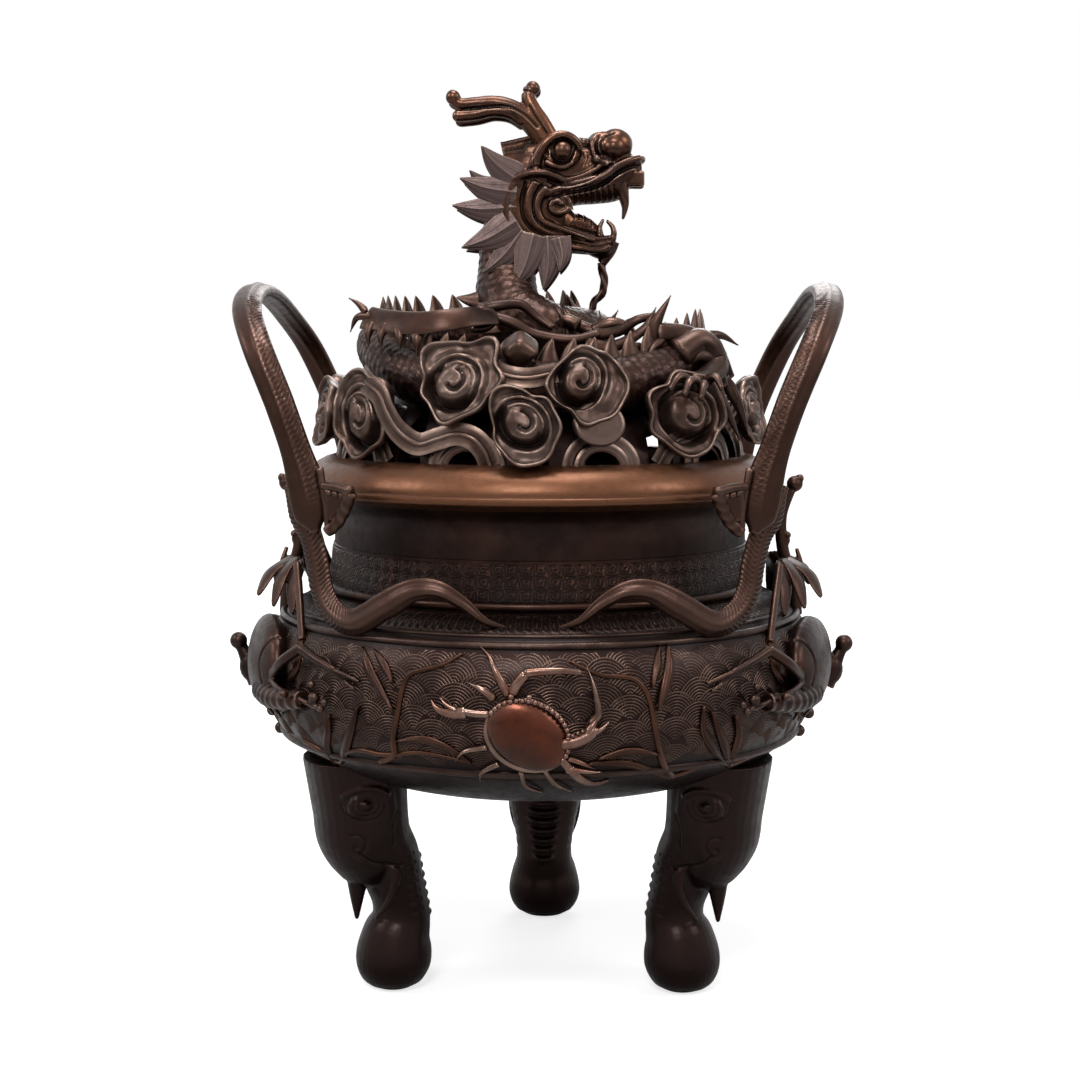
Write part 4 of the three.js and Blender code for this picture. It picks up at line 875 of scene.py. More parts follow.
def strap_points(side):
    half = [(109, -99, 250), (111.5, -98.5, 260), (113.5, -98, 272), (117.5, -97, 286),
            (127, -96, 314), (139, -89, 342), (148, -66, 360), (152, -24, 371)]
    back = [(x, -y, z) for x, y, z in reversed(half)]
    return [(side * x, y, z) for x, y, z in half + back]


def feathers(distance, turn, side):
    """Diagonal cuts on one half of the face that looks outwards along the loop."""
    face = sin(turn) * -side
    if face < 0.25 or cos(turn) > 0.05:
        return 0.0
    wave = cos(2 * pi * (distance + 9 * cos(turn)) / 3)
    return -max(0.0, wave) ** 3 * ease((face - 0.25) * 3) * ease((0.05 - cos(turn)) * 4)


def loop_strap(name, side):
    path = smooth_path(strap_points(side), 420)
    run = run_of(path)

    def half(t):
        end = run * min(t, 1 - t)
        flare = 0.35 + 0.72 * ease(end / 9) + 0.26 * bell(end - 22, 14)
        thick = mm("strap_thick") / 2 * (0.6 + 0.4 * ease(end / 14))
        return mm("strap_width") / 2 * min(flare, 1.3), thick

    def relief(t, turn):
        near = min(t, 1 - t)
        ends = ease((0.40 - near) * 12) * ease((near - 0.02) * 25)
        ridge = bell(abs(turn) - pi / 2, 0.18) * ease(near * 12)
        flat = -0.5 * cos(2 * turn) ** 2 * ease(near * 12)
        return ridge + flat + ends * feathers(run * near, turn, side)

    bm = bmesh.new()
    tube(bm, path, half, 40, lambda t, p: Vector((side, 0, 0)), relief)
    piece(f"loop_handle_{name}", bm, "vessel", [f"handle_{name}"],
          finish("handles"))


def lip_tie(name, side, back):
    bm = bmesh.new()

    def at(x, y, height):
        return Vector((side * x, y, height))

    def front_face(t, p):
        return Vector((0.2 * side, -1, 0))

    ridge = [at(106.5, -101.5, 282), at(104.6, -103, 272), at(103, -104, 262),
             at(102.4, -104.5, 251.5)]
    limb(bm, ridge, 2, 1.5, 14, 24, front_face)
    web = smooth_path([at(102.6, -104.5, 250.6), at(97.5, -106.5, 255), at(93, -110.5, 262.5),
                       at(89.6, -116, 271)], 20)
    tube(bm, web, lambda t: (2.1, 3.4 + 0.8 * t), 18, front_face,
         lambda t, turn: 0.4 * cos(2 * turn) + 0.25 * cos(28 * t + 2 * turn))
    pane = smooth_path([at(96.5, -108, 272), at(98.5, -106, 264), at(100.5, -104.5, 256)], 12)
    tube(bm, pane, lambda t: (1.3, 8.4 - 5.4 * t), 12, front_face)
    limb(bm, [at(105, -103.5, 273.5), at(97, -110, 273.2), at(89, -117, 271.6)], 2.2, 2.6, 14)
    for bud in range(3):
        pebble(bm, at(101 - 3.6 * bud, -107.6 - 2.4 * bud, 270.4 - 0.6 * bud), (2.3, 1.7, 1.7),
               Vector((0, -1, 0.3)), 0.5 * side, 12)
    if back < 0:
        bmesh.ops.scale(bm, vec=(1, -1, 1), verts=bm.verts)
    bmesh.ops.recalc_face_normals(bm, faces=bm.faces)
    piece(f"lip_tie_{name}", bm, "vessel", [f"clasp_{name}"], finish("handles"))


class BURNER_OT_handles(bpy.types.Operator):
    """Carries the two loop handles out of the lip and over"""
    bl_idname = "burner.handles"
    bl_label = "Loop handles"

    def execute(self, context):
        for name, side in SIDES:
            loop_strap(name, side)
            lip_tie(f"front_{name}", side, 1)
            lip_tie(f"back_{name}", side, -1)
        return {"FINISHED"}


def vine_points(side, back):
    wide, waist = mm("belly_radius") - 7, mm("waist_height")
    crest, bead = 221, Belly().height(mm("bead_radius"))
    rows = [(57, wide + 5, 272), (54.5, wide + 4, 258), (52, wide + 1, waist + 5),
            (50, wide, waist - 9), (48.5, wide, crest), (45, wide, bead + 12),
            (38.5, wide, bead + 7.5), (30.5, wide - 1, crest - 5), (24, wide - 2, crest + 3.5),
            (19, wide - 4, crest + 4), (14.5, wide - 7, crest - 2), (10, wide - 11, bead + 11),
            (6, mm("bead_radius") - 11, bead + 7.5)]
    points = [polar(side * azimuth, radius, height) for azimuth, radius, height in rows]
    return [Vector((p.x, -p.y, p.z)) if back else p for p in points]


def vine(name, side, end, back):
    """One ribbon of a vine, keeled along the shoulder and feathered where it is upright."""
    path = smooth_path(vine_points(side, back), 340)
    run = run_of(path)
    turned = -side if back else side

    def half(t):
        taper = 1 - 0.85 * (t - 0.65) / 0.35 if t > 0.65 else 1
        return 3.2 * taper, mm("vine_width") / 2 * taper * (0.62 + 0.36 * ease((t - 0.01) * 9))

    def relief(t, turn):
        upright = ease((0.52 - t) * 7)
        front = cos(turn)
        across = sin(turn) * turned
        keel = 1.3 * bell(turn * turned + 0.15, 0.42)
        hollow = -0.7 * bell(turn * turned - 0.75, 0.35)
        wave = max(0.0, cos(2 * pi * (run * t + 5.5 * abs(across)) / 2.6)) ** 2
        cut = wave * ease(front * 4) * ease((abs(across) - 0.12) * 6)
        return (keel + hollow) * ease((1 - t) * 5) * (1 - 0.5 * upright) - 0.75 * cut * upright

    bm = bmesh.new()
    tube(bm, path, half, 44, lambda t, p: Vector((0.45 * p.x, p.y, 0)), relief)
    piece(f"vine_ribbon_{end}_{name}", bm, "vessel", [f"vine_{end}_{name}"],
          finish("vines"))


class BURNER_OT_vines(bpy.types.Operator):
    """Leads the four vines down beside the neck and along the shoulder"""
    bl_idname = "burner.vines"
    bl_label = "Vines"

    def execute(self, context):
        for name, side in SIDES:
            for end, back in (("front", False), ("back", True)):
                vine(name, side, end, back)
        return {"FINISHED"}


# Creatures and twigs on the belly

def blade(bm, belly, points, width, thick=1.6, keen=1):
    """A flat pointed limb with a ridge down its middle."""
    rough = [belly.at(*point) for point in points]

    def half(t):
        return thick * (1 - 0.6 * t), max(0.3, width / 2 * (1 - keen * t ** 1.6))

    tube(bm, even_path(rough, 1.2, 8, run_of(rough)), half, 12, belly.facing,
         lambda t, turn: 0.5 * bell(turn, 0.35) * (1 - t))


# Points of (azimuth, height, lift) and the width
CRAB_LEGS = [
    ([(-4, 177, 2), (-6.4, 187.5, 3.5), (-7.8, 193.5, 2.5), (-10.3, 198.6, 0.8)], 4.4),
    ([(-6.6, 175, 1.5), (-9, 179.5, 2.8), (-11.8, 182.6, 1)], 4.6),
    ([(10.9, 163, 2.6), (12.1, 168, 3.4), (11.8, 176, 3), (11.2, 183.5, 2), (10.4, 189.5, 0.8)],
     4.2),
    ([(-8, 152, 1.5), (-12.5, 149.5, 2.4), (-14.5, 143.5, 0.8)], 3.4),
    ([(-6, 144, 1.5), (-9.5, 139.5, 2.4), (-10.5, 132.5, 0.8)], 3.2),
    ([(2.5, 141, 1.2), (4.5, 134, 2.2), (8.8, 126.5, 0.8)], 3.2),
    ([(-2, 140, 1.2), (-1.2, 132.5, 2.2), (2.4, 126, 0.8)], 3),
    ([(6.8, 147, 1.5), (9.8, 144.5, 2.6), (12.4, 140.6, 1.2)], 3.2),
]


# Points of (azimuth, height, lift), and the radius at the root and at the tip
CRAB_ARMS = [
    ([(-3.2, 178, 2), (-2.2, 182.4, 5), (-0.8, 186, 7)], 2.8, 2.6),
    ([(-1, 186.2, 7), (2, 186.8, 7.6), (6, 187, 7.2), (9, 186.4, 6)], 2.4, 1.6),
    ([(-7.4, 168, 2), (-9.8, 168.2, 3), (-12.3, 169, 3.4)], 2.1, 1.9),
    ([(5.6, 154, 2), (8.2, 155.8, 3.2), (10.4, 158.6, 3.8), (11.6, 161.6, 3.4)], 3.4, 2.8),
    ([(5.4, 147.5, 2), (7.6, 141.5, 3.4)], 2.2, 2.4),
]


# Points of (azimuth, height, lift) and the width
CRAB_CLAWS = [
    ([(-11.6, 168.6, 3.4), (-14.4, 168, 4), (-17, 169.6, 3.4), (-18.4, 173.6, 1.4)], 6.2),
    ([(-13.2, 169.6, 3.6), (-15.2, 172, 3.4), (-16.8, 175.6, 1.2)], 2.8),
    ([(10, 158.6, 3.8), (11.2, 163.6, 4), (12.4, 167.6, 2.6)], 5),
    ([(10.4, 158.6, 3.8), (12.6, 161.2, 3.8), (14.2, 164.6, 2.4)], 3.8),
    ([(7, 143, 3), (9.6, 137.4, 3.8), (12.6, 134.2, 3.2), (15.4, 134.6, 1.6)], 5.6),
    ([(7, 143, 3), (10.6, 141.2, 3.2), (13.4, 140.2, 2.4)], 3),
]


class BURNER_OT_crab(bpy.types.Operator):
    """Sets the crab on the front of the belly"""
    bl_idname = "burner.crab"
    bl_label = "Crab"

    def execute(self, context):
        belly = Belly()
        centre = (-0.6, mm("belly_height") - 7.2)
        plane = belly.axes(*centre, -0.42)
        bm = bmesh.new()
        shell = plane @ Matrix.Translation((0, 0, -0.4))
        bmesh.ops.create_uvsphere(bm, u_segments=48, v_segments=24, radius=1,
                                  matrix=shell @ Matrix.Diagonal((20.4, 16.8, 7.6, 1)))
        inward = plane.inverted()
        for vert in bm.verts:
            local = inward @ vert.co
            square = 1 + 0.07 * cos(2 * atan2(local.y / 16.8, local.x / 20.4) + 0.8)
            dent = 0.9 * exp(-((local.x + 5) ** 2 + (local.y - 3) ** 2) / 60)
            vert.co = plane @ Vector((local.x * square, local.y * square,
                                      local.z - dent * (local.z > 0)))
        part = bmesh.new()
        rim = [plane @ Vector((20.2 * cos(turn), 16.6 * sin(turn), 0.4)) for turn in arc(0, 360, 9)]
        tube(part, smooth_path(rim, 80, True)[:-1] + [rim[0]], lambda t: (1.4, 1.5), 8,
             lambda t, p: belly.normal(*centre))
        merge_into(bm, part)
        for bead in range(22):
            turn = radians(168 - 8.6 * bead)
            ball(bm, plane @ Vector((20.6 * cos(turn), 17.0 * sin(turn), 2)), 1.45, 10)
        for points, width in CRAB_LEGS:
            blade(bm, belly, points, width)
        for points, start, end in CRAB_ARMS:
            limb(bm, [belly.at(*point) for point in points], start, end)
        for points, width in CRAB_CLAWS:
            blade(bm, belly, points, width, 2.3, 0.95)
        for bead in range(7):
            share = bead / 6
            ball(bm, belly.at(6.6 + 5.2 * share, 157.4 + 3.4 * share + 1.6 * sin(3 * share), 5), 1,
                 8)
        for eye in (-3.4, -0.2):
            ball(bm, belly.at(eye, 176.5, 4.2), 1.6, 12)
        bmesh.ops.recalc_face_normals(bm, faces=bm.faces)
        piece("crab_figure", bm, "vessel", ["crab"], finish("crab"))
        return {"FINISHED"}


BULB = ((156, -2, 158), (160.4, -2, 166), (163.6, -1.6, 173), (166.4, -1.2, 178))


def crayfish(belly, name, side):
    """A crayfish on its side of the belly, with the bulb beside its tail."""
    def at(azimuth, height, lift=0.0):
        return belly.at(side * azimuth, height, lift)

    def out(azimuth, height):
        return belly.normal(side * azimuth, height)

    bm = bmesh.new()
    pebble(bm, at(71.4, 178, 1.2), (33, 23, 9.6), out(71.4, 178), side * 0.12, 36)
    pebble(bm, at(86, 176, 1), (22, 20, 9), out(86, 176), 0, 30)
    for ring in range(6):
        share = ring / 5
        pebble(bm, at(95 + 5.2 * ring, 176 - 9 * share, 0.8 + 0.4 * (1 - share)),
               (9.5 - 2.2 * share, 17.5 - 6 * share, 9 - 3.4 * share),
               out(95 + 5.2 * ring, 176 - 9 * share), side * 0.1, 24)
    for fin in range(5):
        lean = (fin - 2) * 0.42
        tail = [at(121, 166, 1.6), at(126, 166 + 9 * sin(lean), 2.2),
                at(131, 166 + 17 * sin(lean), 1.2)]
        tube(bm, smooth_path(tail, 12),
             lambda t: (1.5, 1.5 + 2.6 * sin(pi * min(1, t * 0.9 + 0.1))), 12,
             lambda t, p: out(126, 166))
    limb(bm, [at(68, 163, 5), at(61, 162.6, 6.6), at(54, 164, 7.2), at(48, 166, 6.2)], 6.2, 4.6, 24,
         60, None, lambda t, turn: 0.4 * cos(t * 2 * pi * 8))
    pebble(bm, at(44.6, 168.2, 5.6), (3.4, 3, 3), out(45, 168), 0, 14)
    limb(bm, [at(62, 172, 6), at(54, 169, 9), at(43.4, 164, 6.4)], 1.7, 1.3, 10)
    ball(bm, at(50.4, 168.6, 13.2), 2.3, 14)
    for azimuth, height in ((45.3, 174.3), (42.6, 163.4), (41.6, 166.8)):
        ball(bm, at(azimuth, height, 5.6), 2, 12)
    knee = [at(60, 174, 6), at(54, 182, 9), at(49.4, 188.4, 8), at(44.6, 185.4, 6),
            at(40.4, 182.4, 4)]
    limb(bm, knee[:3], 2.8, 2.8, 12)
    limb(bm, knee[2:], 2.8, 2, 12)
    limb(bm, [knee[-1], at(37.4, 180.8, 3), at(34.4, 178.6, 0.8)], 1.7, 0.8, 8)
    limb(bm, [knee[-1], at(38.2, 178.8, 3), at(35.4, 174.6, 0.8)], 1.7, 0.8, 8)
    for azimuth, low in ((62, 150), (70, 148), (79, 147), (88, 148)):
        limb(bm, [at(azimuth + 3, 166, 4), at(azimuth - 1, 158, 5.5), at(azimuth + 1.5, low, 0.6)],
             1.9, 0.9, 8)
    for azimuth, height in ((86, 144), (81, 137), (94, 140)):
        ball(bm, at(azimuth, height, 2.2), 3.4, 12)
    bulb = [Vector((side * x, y, z)) for x, y, z in BULB]
    limb(bm, bulb, 6.6, 3, 18)
    pebble(bm, bulb[1], (6.4, 8.6, 6.2), Vector((0, -1, 0)), 0, 18)
    ball(bm, Vector((side * 167.2, -1.2, 180.2)), 4.9, 18)
    bm = fuse(bm, 0.75, 2)
    lines = [
        drape(bm, [at(60, 196, 4), at(63, 188, 4), at(64.5, 178, 4), at(63, 168, 4)],
              -out(64, 182)),
        drape(bm, [at(82, 198, 6), at(79.5, 188, 6), at(80, 176, 6), at(83, 166, 6)],
              -out(81, 182)),
    ]
    carve(bm, lines, 1.6, 1)
    segments = [drape(bm, [at(97.6 + 5.2 * ring, 194 - 2 * ring, 6),
                           at(96.4 + 5.2 * ring, 178 - ring, 6), at(97.6 + 5.2 * ring, 162, 6)],
                      -out(98 + 5 * ring, 178)) for ring in range(5)]
    carve(bm, segments, 1.5, 1.1)
    piece(f"crayfish_figure_{name}", bm, "vessel", [f"crayfish_{name}"],
          finish("crayfish"))


class BURNER_OT_crayfish(bpy.types.Operator):
    """Sets the two crayfish on the sides of the belly"""
    bl_idname = "burner.crayfish"
    bl_label = "Crayfish"

    def execute(self, context):
        belly = Belly()
        for name, side in SIDES:
            crayfish(belly, name, side)
        return {"FINISHED"}


# Points of (distance out, y, height) and the width
TWIG_LEAVES = [
    ([(-5, -8, 226), (4, -20, 221), (10, -30, 209)], 17),
    ([(-8, -16, 226), (-3, -30, 219), (0.4, -38, 204)], 16),
    ([(-10, -20, 225), (-10, -37, 216), (-11, -46, 201)], 15),
]


def side_twig(name, side):
    """A knobbed twig with its leaves to the front and to the back."""
    def at(dx, y, height):
        return Vector((side * (141 + dx), y, height))

    bm = bmesh.new()
    limb(bm, [at(-1, -3, 196), at(-2, -2, 212), at(-8, -2, 232), at(-9, -2, 250), at(-3, -2, 268)],
         4, 2.8, 14)
    ball(bm, at(-2, -2, 268), 4.5, 18)
    ball(bm, at(0.6, -3, 271), 2.4, 12)
    ball(bm, at(-8, -1, 237), 4.1, 18)
    ball(bm, at(-5.6, -3.4, 240), 2, 12)
    limb(bm, [at(-2, 0, 214), at(3, 9, 222), at(1, 13, 231)], 2.2, 1.2, 10)
    for front in (1, -1):
        for points, width in TWIG_LEAVES:
            blade_line = [at(dx, front * y, height) for dx, y, height in points]
            facing = Vector((side, -0.9 * front, 0.5)).normalized()
            flame(bm, blade_line, width, facing, 2.2, 0.45)
        limb(bm, [at(-14, -46 * front, 228), at(-18, -64 * front, 211), at(-22, -84 * front, 193)],
             2.2, 2, 12)
        limb(bm, [at(-3, 0, 212), at(-4, -6 * front, 221), at(-8, -15 * front, 224)], 2.6, 1.8, 12)
    bm = fuse(bm, 0.6, 2)
    piece(f"side_twig_{name}", bm, "vessel", [f"twig_{name}"], finish("handles"))


class BURNER_OT_twigs(bpy.types.Operator):
    """Stands the two knobbed twigs between the sides of the handles"""
    bl_idname = "burner.twigs"
    bl_label = "Twigs"

    def execute(self, context):
        for name, side in SIDES:
            side_twig(name, side)
        return {"FINISHED"}


# Legs

def leg_stations(bm, stations, count=26, sides=32):
    """A leg form through oval stations of (height, radius, half size out, half size across)."""
    centres = smooth_path([Vector((radius, 0, height)) for height, radius, _, _ in stations], count)
    sizes = smooth_path([Vector((out, across, height)) for height, _, out, across in stations],
                        5 * count)

    def half(t):
        height = centres[round(t * (len(centres) - 1))].z
        return min(sizes, key=lambda size: abs(size.z - height)).xy

    tube(bm, centres, half, sides, lambda t, p: Vector((1, 0, 0)))


def elephant_form():
    """An elephant's head whose trunk is the leg: x points away from the vessel axis."""
    ring = mm("leg_circle")
    head = ring + 20
    bm = bmesh.new()
    leg_stations(bm, [(0, ring, 9.6, 10.4), (1.4, ring, 12.8, 13.8), (4.6, ring + 0.3, 16.6, 17.8),
                      (9.6, ring + 0.6, 19.2, 20.4), (15, ring + 0.6, 20.2, 21.4),
                      (21, ring - 0.2, 19.8, 20.8), (28, ring - 1.4, 18.2, 19.2),
                      (37, ring - 4, 15.6, 16.6), (47, ring - 3, 14.4, 17),
                      (58, ring + 0.4, 15, 19), (72, ring + 4, 16.4, 22), (87, ring + 11, 17.4, 25),
                      (125, ring + 14, 17.6, 28)], 44)
    leg_stations(bm, [(59, head - 12, 5, 9), (68, head - 6, 16, 18), (83, head - 1.6, 23, 26),
                      (100, head, 24, 29), (130, head + 4, 25, 31)])
    limb(bm, [(head, 0, 72), (head + 1.4, 0, 56), (head + 1.8, 0, 38.6)], 8.5, 1, 16)
    for side in (-1, 1):
        limb(bm, [(head - 9, side * 15.5, 83), (head - 11.5, side * 18.6, 72),
                  (head - 12, side * 19, 63), (head - 9.5, side * 17.4, 52),
                  (head - 3, side * 14.4, 42)], 4.3, 1.1, 14)
        pebble(bm, Vector((head - 9.4, side * 18, 80)), (5.6, 4.4, 4.4), Vector((0, side, 0)), 0,
               18)
        pebble(bm, Vector((head + 7, side * 20.5, 87)), (9, 12, 4), Vector((0.3, side, 0)),
               side * 0.35, 24)
        pebble(bm, Vector((head + 7, side * 25, 107)), (10.5, 7.6, 4), Vector((-0.1, side, 0)),
               side * 0.1, 24)
        ball(bm, Vector((head + 8, side * 28, 107)), 2.6, 16)
    for wrinkle in range(7):
        height = 38 + 5.4 * wrinkle
        share = wrinkle / 6
        width = 8 + 5 * share
        nose = ring - 18.4 + 6.8 * share
        limb(bm, [(nose + 6, -width, height + 2.4), (nose + 0.4, -width * 0.5, height + 0.6),
                  (nose - 0.6, 0, height), (nose + 0.4, width * 0.5, height + 0.6),
                  (nose + 6, width, height + 2.4)], 2.2, 2.2, 10, 20)
    return bm


class BURNER_OT_legs(bpy.types.Operator):
    """Models the elephant-head legs and the nuts that hold them"""
    bl_idname = "burner.legs"
    bl_label = "Legs and nuts"

    def execute(self, context):
        head = mm("leg_circle") + 20
        bm = fuse(elephant_form(), 0.8, 4)
        for side in (-1, 1):
            aim = (0, -side, 0)

            def flank(points):
                return drape(bm, [Vector((x, side * 60, z)) for x, z in points], aim)

            lids = [[(head + 8 + r * cos(a), 107 + 0.8 * r * sin(a)) for a in arc(start, end, 18)]
                    for r, start, end in ((4.2, 0, 361), (7.2, 150, 400), (10.4, 185, 370))]
            carve(bm, [flank(line) for line in lids], 1.4, 0.7)
            brow = [(head - 4, 112), (head + 3, 115.6), (head + 12, 115.6), (head + 18, 112)]
            carve(bm, [flank(brow)], 2.4, -1.1)
            curl = [(head + 11 + (6.6 - 0.015 * d) * cos(radians(d)),
                     84 + (8.4 - 0.019 * d) * sin(radians(d))) for d in range(60, 440, 16)]
            carve(bm, [flank(curl)], 1.5, 0.9)
            mouth = [(head - 14, 71), (head - 8, 72), (head + 2, 75), (head + 9, 80)]
            carve(bm, [flank(mouth)], 1.7, 1.3)
            cheek = [(head - 10, 100), (head - 8, 92), (head - 9, 84)]
            carve(bm, [flank(cheek)], 1.8, 1)
            seams = [[(head - 30 + 1.2 * i, 44 + 5.4 * i), (head - 23 + i, 43 + 5.4 * i)]
                     for i in range(7)]
            carve(bm, [flank(seam) for seam in seams], 1.2, 0.6)
        foot = mm("leg_circle") + 1
        sole = [Vector((foot + 14.2 * cos(a), 15.4 * sin(a), 2.4)) for a in arc(0, 361, 6)]
        carve(bm, [sole], 1.2, 0.4)
        belly = Belly()
        for vert in bm.verts:
            vert.co.z = max(0, min(vert.co.z, belly.floor(hypot(vert.co.x, vert.co.y)) + 2.4))
        bmesh.ops.recalc_face_normals(bm, faces=bm.faces)
        base = mesh_of("elephant", bm)
        for name, azimuth in LEGS:
            turned = Matrix.Rotation(radians(azimuth - 90), 4, "Z")
            bm = bmesh.new()
            bm.from_mesh(base)
            bmesh.ops.transform(bm, matrix=turned, verts=bm.verts)
            rod(bm, 4.7, 38, Matrix.Translation(stud_place(azimuth, 118)), 28)
            piece(f"elephant_leg_{name}", bm, "vessel", [f"leg_{name}"],
                  finish("legs"))
            bm = bmesh.new()
            rod(bm, 10, 8, Matrix.Translation(stud_place(azimuth, 130.3)) @ turned, 6)
            round_edges(bm, bm.edges[:], 0.7, 2)
            piece(f"nut_{name}", bm, "vessel", [f"leg_nut_{name}"], finish("nuts"),
                  30)
        bpy.data.meshes.remove(base)
        return {"FINISHED"}


# The lid

class Dome:
    """The dome of the lid: an ellipse over its ring."""

    def __init__(self):
        self.ring = mm("ring_radius")
        self.base = mm("ring_height") + 5
        self.height = mm("dome_height")

    def point(self, angle, shift=0.0):
        return (self.ring + shift) * cos(angle), self.base + (self.height + shift) * sin(angle)

    def at_height(self, azimuth, height, lift=0.0):
        angle = asin(min(1, max(0, (height - self.base) / self.height)))
        radius, level = self.point(angle, lift)
        return polar(azimuth, radius, level)


def arch_outline(width, height, count=18):
    points = [(width / 2 * cos(pi * step / count), height * sin(pi * step / count))
              for step in range(count + 1)]
    return [(width / 2, -1.5)] + points + [(-width / 2, -1.5)]


def cut_away(bm, cutters):
    """A shape with the cutters taken out of it."""
    whole, tools = (placed("cut", mesh_of("cut", shape)) for shape in (bm, cutters))
    cut = whole.modifiers.new("Openings", "BOOLEAN")
    cut.operation = "DIFFERENCE"
    cut.solver = "EXACT"
    cut.object = tools
    made = modified(whole)
    bpy.data.meshes.remove(tools.data)
    return made


def dome_openings(dome):
    """Low arches, tall arches between them and round holes above, ten of each."""
    cutters = bmesh.new()
    for count in range(10):
        azimuth = 36 * count + 18
        place = polar(azimuth, dome.ring, dome.base + 1)
        slab(cutters, arch_outline(17, 10.5), 44, axes_on(polar(azimuth, 1, 0), place))
        between = azimuth + 18
        place = polar(between, dome.ring, dome.base + 3)
        slab(cutters, arch_outline(15, 24), 44, axes_on(polar(between, 1, 0), place))
        radius, height = dome.point(0.98)
        rod(cutters, 9, 44, axes_on(polar(azimuth, 1, 1.4), polar(azimuth, radius, height)), 20)
    return cutters


# Points of (azimuth, distance out, height) and the half width
RIBBONS = [
    ([(-53, 1, 328), (-47, 5, 323), (-42, 6, 318), (-39.4, 6, 309), (-36.2, 4, 299.6),
      (-31, 2, 293.6), (-25, 2, 296.4), (-19.6, 2, 299), (-15.4, 2, 297), (-12.4, 1, 291),
      (-11, 0, 283.4)], 5),
    ([(34, 0, 283.6), (37, 1, 292), (43.6, 0, 297), (51, 0, 298), (58.6, 0, 293), (62, 0, 284)], 4),
    ([(-68, 0, 284), (-62, 0, 293), (-54, 0, 297), (-46, 0, 293), (-42.6, 0, 284)], 4),
    ([(-12, -6, 331), (-6, -2, 327.4), (-1, -2, 326.6), (6, -6, 329)], 4.2),
    ([(62, 0, 300), (69, 2, 310), (77, 2, 312), (86, 0, 304)], 4.2),
    ([(92, 0, 300), (100, 2, 312), (110, 2, 310), (118, 0, 298)], 4.2),
]


def dome_arches(bm, dome):
    for count in range(10):
        azimuth = 36 * count + 18
        axes = axes_on(polar(azimuth, 1, 0), polar(azimuth, dome.ring, dome.base + 1))
        for reach, out, across, lift in ((11.4, 2.2, 2.2, 0.6), (16.4, 2, 2.9, 0.2)):
            points = []
            for step in range(17):
                turn = pi * step / 16
                height = dome.base + reach * 0.92 * sin(turn)
                aside = degrees(reach * 1.06 * cos(turn) / dome.ring)
                points.append(dome.at_height(azimuth + aside, height, lift))
            tube(bm, smooth_path(points, 34), lambda t: (out, across), 16,
                 lambda t, p: axes.col[2].to_3d(),
                 lambda t, turn: 0.5 * bell(abs(turn) - 1.2, 0.25) - 0.6 * bell(turn, 0.3))


def dome_ribbons(bm, dome):
    low = dome.ring + 1.5
    for turn in (0, 180):
        for line, width in RIBBONS:
            points = [polar(azimuth + turn, low + out, height) for azimuth, out, height in line]
            tube(bm, smooth_path(points, 90), lambda t: (1.9, width), 26,
                 lambda t, p: Vector((p.x, p.y, 30)).normalized(),
                 lambda t, turn: 1.5 * bell(abs(turn) - 1.15, 0.26) - 1.0 * bell(turn - 0.5, 0.2)
                 - 0.8 * bell(turn + 0.4, 0.18))


class BURNER_OT_dome(bpy.types.Operator):
    """Raises the openwork dome of the lid with its arches and ribbons"""
    bl_idname = "burner.dome"
    bl_label = "Dome"

    def execute(self, context):
        dome = Dome()
        wall = mm("dome_wall")
        bottom = mm("ring_height")
        outer = [dome.point(pi / 2 * step / 20) for step in range(21)]
        inner = [dome.point(pi / 2 * step / 14, -wall) for step in range(15)]
        outer[-1] = (0, outer[-1][1])
        inner[-1] = (0, inner[-1][1])
        ring = [(dome.ring - wall - 4, bottom + 0.5), (dome.ring - wall - 3.5, bottom),
                (dome.ring - 0.6, bottom), (dome.ring, bottom + 0.6)]
        part = bmesh.new()
        turn_round(part, ring + outer + inner[::-1] + ring[:1], 120)
        bm = cut_away(part, dome_openings(dome))
        # The openwork dome takes the dark finish of the legs as painted shade: it stands in shadow
        # behind the clouds and the arches.
        piece("lid_openwork", bm, "lid", ["lid_dome"], finish("legs"), 45)
        bm = bmesh.new()
        dome_arches(bm, dome)
        dome_ribbons(bm, dome)
        piece("lid_ribbons", bm, "lid", ["lid_dome"], finish("clouds"), 50)
        return {"FINISHED"}


